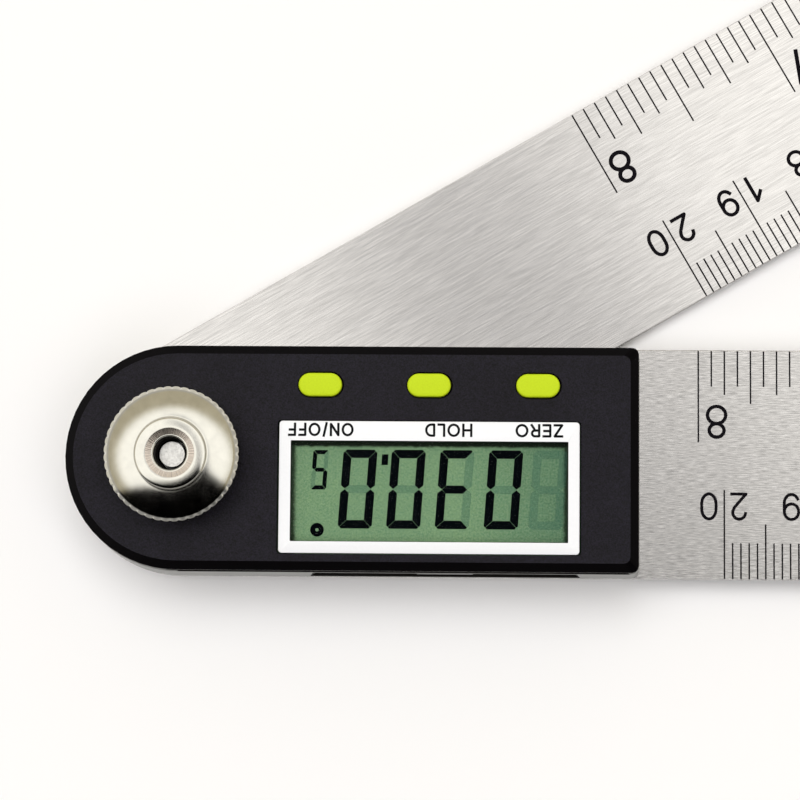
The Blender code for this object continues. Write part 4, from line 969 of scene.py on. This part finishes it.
def segment_shapes(width, height, stroke):
    """The seven segments of an upright digit with mitred joints, from its lower left corner."""
    cut, gap, notch = CORNER_CUT * stroke, SEGMENT_GAP / math.sqrt(2.0), MIDDLE_HALF * stroke
    middle = height / 2
    side = [(0.0, cut), (0.0, middle - POINT_REACH * stroke), (stroke / 2, middle - SEGMENT_GAP),
            (stroke, middle - notch), (stroke, stroke + gap), (cut / 2, cut / 2 + gap)]
    foot = [(cut, 0.0), (width - cut, 0.0), (width - cut / 2 - gap, cut / 2),
            (width - stroke - gap, stroke), (stroke + gap, stroke), (cut / 2 + gap, cut / 2)]
    bar = [(stroke / 2 + SEGMENT_GAP, middle), (stroke + gap, middle - notch),
           (width - stroke - gap, middle - notch), (width - stroke / 2 - SEGMENT_GAP, middle),
           (width - stroke - gap, middle + notch), (stroke + gap, middle + notch)]
    return {
        "a": [(x, height - y) for x, y in foot],
        "b": [(width - x, height - y) for x, y in side],
        "c": [(width - x, y) for x, y in side],
        "d": foot,
        "e": side,
        "f": [(x, height - y) for x, y in side],
        "g": bar,
    }


def display_digit(digit, x, foot, top, width, stroke):
    """Lit and unlit segment shapes of a digit, from its high X edge."""
    lit, unlit = [], []
    for name, outline in segment_shapes(width, foot - top, stroke).items():
        leaning = [(px + DIGIT_SLANT * py, py) for px, py in outline]
        chosen = lit if name in SEGMENTS.get(digit, "") else unlit
        chosen += upside_down([leaning], x, foot)
    return lit, unlit


def display_picture():
    """The digits, the decimal bar and the degree ring on the display."""
    digits = [display_digit(digit, x * MM, BIG_DIGIT_FOOT, BIG_DIGIT_TOP, BIG_DIGIT_WIDTH, BIG_SEGMENT)
              for digit, x in BIG_DIGITS]
    digits.append(display_digit(SMALL_DIGIT, SMALL_DIGIT_X, SMALL_DIGIT_FOOT, SMALL_DIGIT_TOP,
                                SMALL_DIGIT_WIDTH, SMALL_SEGMENT))
    lit = [shape for digit_lit, _ in digits for shape in digit_lit]
    unlit = [shape for _, digit_unlit in digits for shape in digit_unlit]
    lit.append([(x * MM, y * MM) for x, y in DECIMAL_BAR])
    degree = arc(DEGREE_X, DEGREE_Y, DEGREE_RADIUS, DEGREE_RADIUS, 0, 360, DEGREE_STEPS)
    lit += ribbon(degree, DEGREE_HALF_LINE)
    printed("display_segments_lit", lit, LCD_TOP, "lit_segment", "housing")
    printed("display_segments_unlit", unlit, LCD_TOP, "ghost_segment", "housing")


def turned_loops(profile, top, sides):
    """Loops of a body turned about Z, from radius, depth in mm and share of the knurl's notches."""
    loops = []
    for radius, down, share in profile:
        loop = []
        for i in range(sides):
            across = 2.0 * (i % TOOTH_STEPS) / TOOTH_STEPS - 1.0
            reach = radius * MM - KNURL_DEPTH * share * abs(across) ** KNURL_POWER
            turn = math.tau * i / sides
            loop.append((reach * math.cos(turn), reach * math.sin(turn), top - down * MM))
        loops.append(loop)
    return loops


def unnotched(points):
    """Points of a profile that no notch cuts."""
    return [(radius, down, 0.0) for radius, down in points]


def knob_profile():
    """The knob from its bore's foot outwards, up over the knurl and the dome, and down its mouth."""
    height = (KNOB_TOP - KNOB_FOOT) / MM
    chamfer_radius, chamfer_rise = KNOB_FOOT_CHAMFER
    knurl_radius, knurl_rise = KNURL_LOW
    foot = [(KNOB_BORE, height), (KNOB_FOOT_RADIUS, height), (chamfer_radius, height - chamfer_rise)]
    profile = unnotched(foot)
    profile += [(knurl_radius, height - knurl_rise, 1.0), *KNURL_HIGH]
    radius, down = DOME_START
    for i in range(DOME_POINTS):
        profile.append((radius, down, 0.0))
        slope = DOME_STEEPEST - (DOME_STEEPEST - DOME_FLATTEST) * i / (DOME_POINTS - 1)
        radius -= DOME_STEP
        down -= DOME_STEP * math.tan(math.radians(slope))
    return profile + unnotched(BOSS + MOUTH)


def on_machined_ring(centre, normal):
    in_ring = MACHINED_INSIDE < centre.xy.length < MACHINED_OUTSIDE
    return in_ring and centre.z > KNOB_TOP - MACHINED_DEPTH


def in_mouth(centre, normal):
    return centre.xy.length < MOUTH_WALL and centre.z > MOUTH_WALL_FOOT


def lock_knob():
    bm = joined(turned_loops(knob_profile(), KNOB_TOP, KNOB_TEETH * TOOTH_STEPS), closed=True)
    made = new_piece("knurled_lock_knob", bm, "nickel", "knob", KNOB_SMOOTH_ANGLE)
    paint_faces(made, "machined", on_machined_ring)
    # Painted shade: the mouth's deep wall is painted near-black
    paint_faces(made, "mouth", in_mouth)
    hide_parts("lock_knob")


def stud_thread():
    """The stud's last turns of thread and its faced end, round the solid's own stud."""
    thread_foot = STUD_PLAIN + STUD_TURNS * STUD_PITCH + FLANK_FOOT
    points = [(STUD_CORE, thread_foot)]
    for i in range(STUD_TURNS, 0, -1):
        crest = STUD_PLAIN + i * STUD_PITCH
        points += [(STUD_RADIUS, crest), (STUD_RADIUS, crest - CREST_WIDTH)]
        points.append((STUD_ROOT, crest - FLANK_FOOT))
    points += [*STUD_END, (STUD_CORE, STUD_END[-1][1])]
    bm = joined(turned_loops(unnotched(points), STUD_TOP, STUD_SIDES), closed=True)
    new_piece("stud_thread", bm, "stud", "lower_arm", STUD_SMOOTH_ANGLE)


def studio_floor():
    half = FLOOR_HALF
    corners = ((-half, -half), (half, -half), (half, half), (-half, half))
    bm = bmesh.new()
    bm.faces.new([bm.verts.new((x, y, FLOOR_LEVEL)) for x, y in corners])
    new_object("studio_floor", bm, "floor")


def area_light(name, place, size, power, colour):
    data = bpy.data.lights.new(name, "AREA")
    data.shape = "RECTANGLE"
    data.size, data.size_y = size
    data.energy = power
    data.color = colour
    lamp = bpy.data.objects.new(name, data)
    bpy.context.scene.collection.objects.link(lamp)
    lamp.location = place
    lamp.rotation_euler = (Vector(LAMP_AIM) - Vector(place)).to_track_quat("-Z", "Y").to_euler()
    lamp.visible_glossy = False


def middle_share(sky, x, y):
    """How much of the dim strip between the bright sides a direction sees."""
    along = sky.plus(sky.times(x, MIDDLE_SLOPE[0]), sky.times(y, MIDDLE_SLOPE[1]))
    away = sky.calculate("ABSOLUTE", sky.minus(along, MIDDLE_PLACE))
    return sky.times(sky.fade(away, MIDDLE_BAND), sky.fade(y, MIDDLE_END_BAND))


def distance_from_top(sky, x, y):
    """How far a direction leans from a point near straight up, on an oval's scale."""
    sideways = sky.plus(x, BACK_SHIFT)
    squares = [sky.calculate("POWER", sky.times(value, stretch), 2.0)
               for value, stretch in zip((sideways, y), BACK_STRETCH)]
    return sky.calculate("SQRT", sky.plus(*squares))


def distance_from_front(sky, x, y):
    """How far a direction is beyond the front's edge, two slanted lines that meet in a corner."""
    right = sky.minus(x, FRONT_CORNER)
    sides = [sky.times(right, slope) for slope in FRONT_SLOPES]
    return sky.plus(y, sky.calculate("MAXIMUM", *sides))


def studio_world():
    """Bright sides and a dim strip between them, olive round both, then paler down to the horizon,
    and a front that is black above and pale below."""
    world = bpy.data.worlds.new("studio")
    world.use_nodes = True
    bpy.context.scene.world = world
    sky = Nodes(world.node_tree)
    split = sky.node("SeparateXYZ", Vector=sky.node("TexCoord").outputs["Generated"])
    x, y, z = (split.outputs[axis] for axis in "XYZ")
    colour = sky.mix(middle_share(sky, x, y), SKY_SIDES, SKY_MIDDLE)
    colour = sky.mix(sky.rise(distance_from_top(sky, x, y), BACK_BAND), colour, SKY_BACK)
    colour = sky.mix(sky.fade(z, LOW_BAND), colour, SKY_LOW)
    colour = sky.mix(sky.fade(z, HORIZON_BAND), colour, SKY_HORIZON)
    front = sky.mix(sky.fade(z, FRONT_LOW_BAND), SKY_FRONT, SKY_FRONT_LOW)
    colour = sky.mix(sky.fade(distance_from_front(sky, x, y), FRONT_BAND), colour, front)
    sky.feed(sky.tree.nodes["Background"].inputs["Color"], colour)


def photo_camera():
    data = bpy.data.cameras.new("photo_camera")
    data.sensor_width = CAMERA_SENSOR
    data.lens = CAMERA_LENS
    data.clip_start, data.clip_end = CAMERA_NEAREST, CAMERA_FARTHEST
    camera = bpy.data.objects.new("photo_camera", data)
    bpy.context.scene.collection.objects.link(camera)
    turn = (Matrix.Rotation(CAMERA_ROLL, 4, "Z") @ Matrix.Rotation(CAMERA_TILT_X, 4, "X")
            @ Matrix.Rotation(CAMERA_TILT_Y, 4, "Y"))
    camera.matrix_world = Matrix.Translation(CAMERA_PLACE) @ turn.transposed()
    bpy.context.scene.camera = camera


paint_nodes()
rule_scales("upper_rule", "housing", UPPER_RULE_TOP, 0.0)
rule_scales("lower_rule", "lower_arm", LOWER_RULE_TOP, ARM_ANGLE)
display_bezel()
for key_name in ("on_off", "hold", "zero"):
    rubber_key(key_name)
soften_edges()
bezel_labels()
display_picture()
lock_knob()
stud_thread()
studio_floor()
for lamp_name, lamp_values in LAMPS.items():
    area_light(lamp_name, **lamp_values)
studio_world()
photo_camera()
bpy.context.scene.view_settings.view_transform = "Standard"
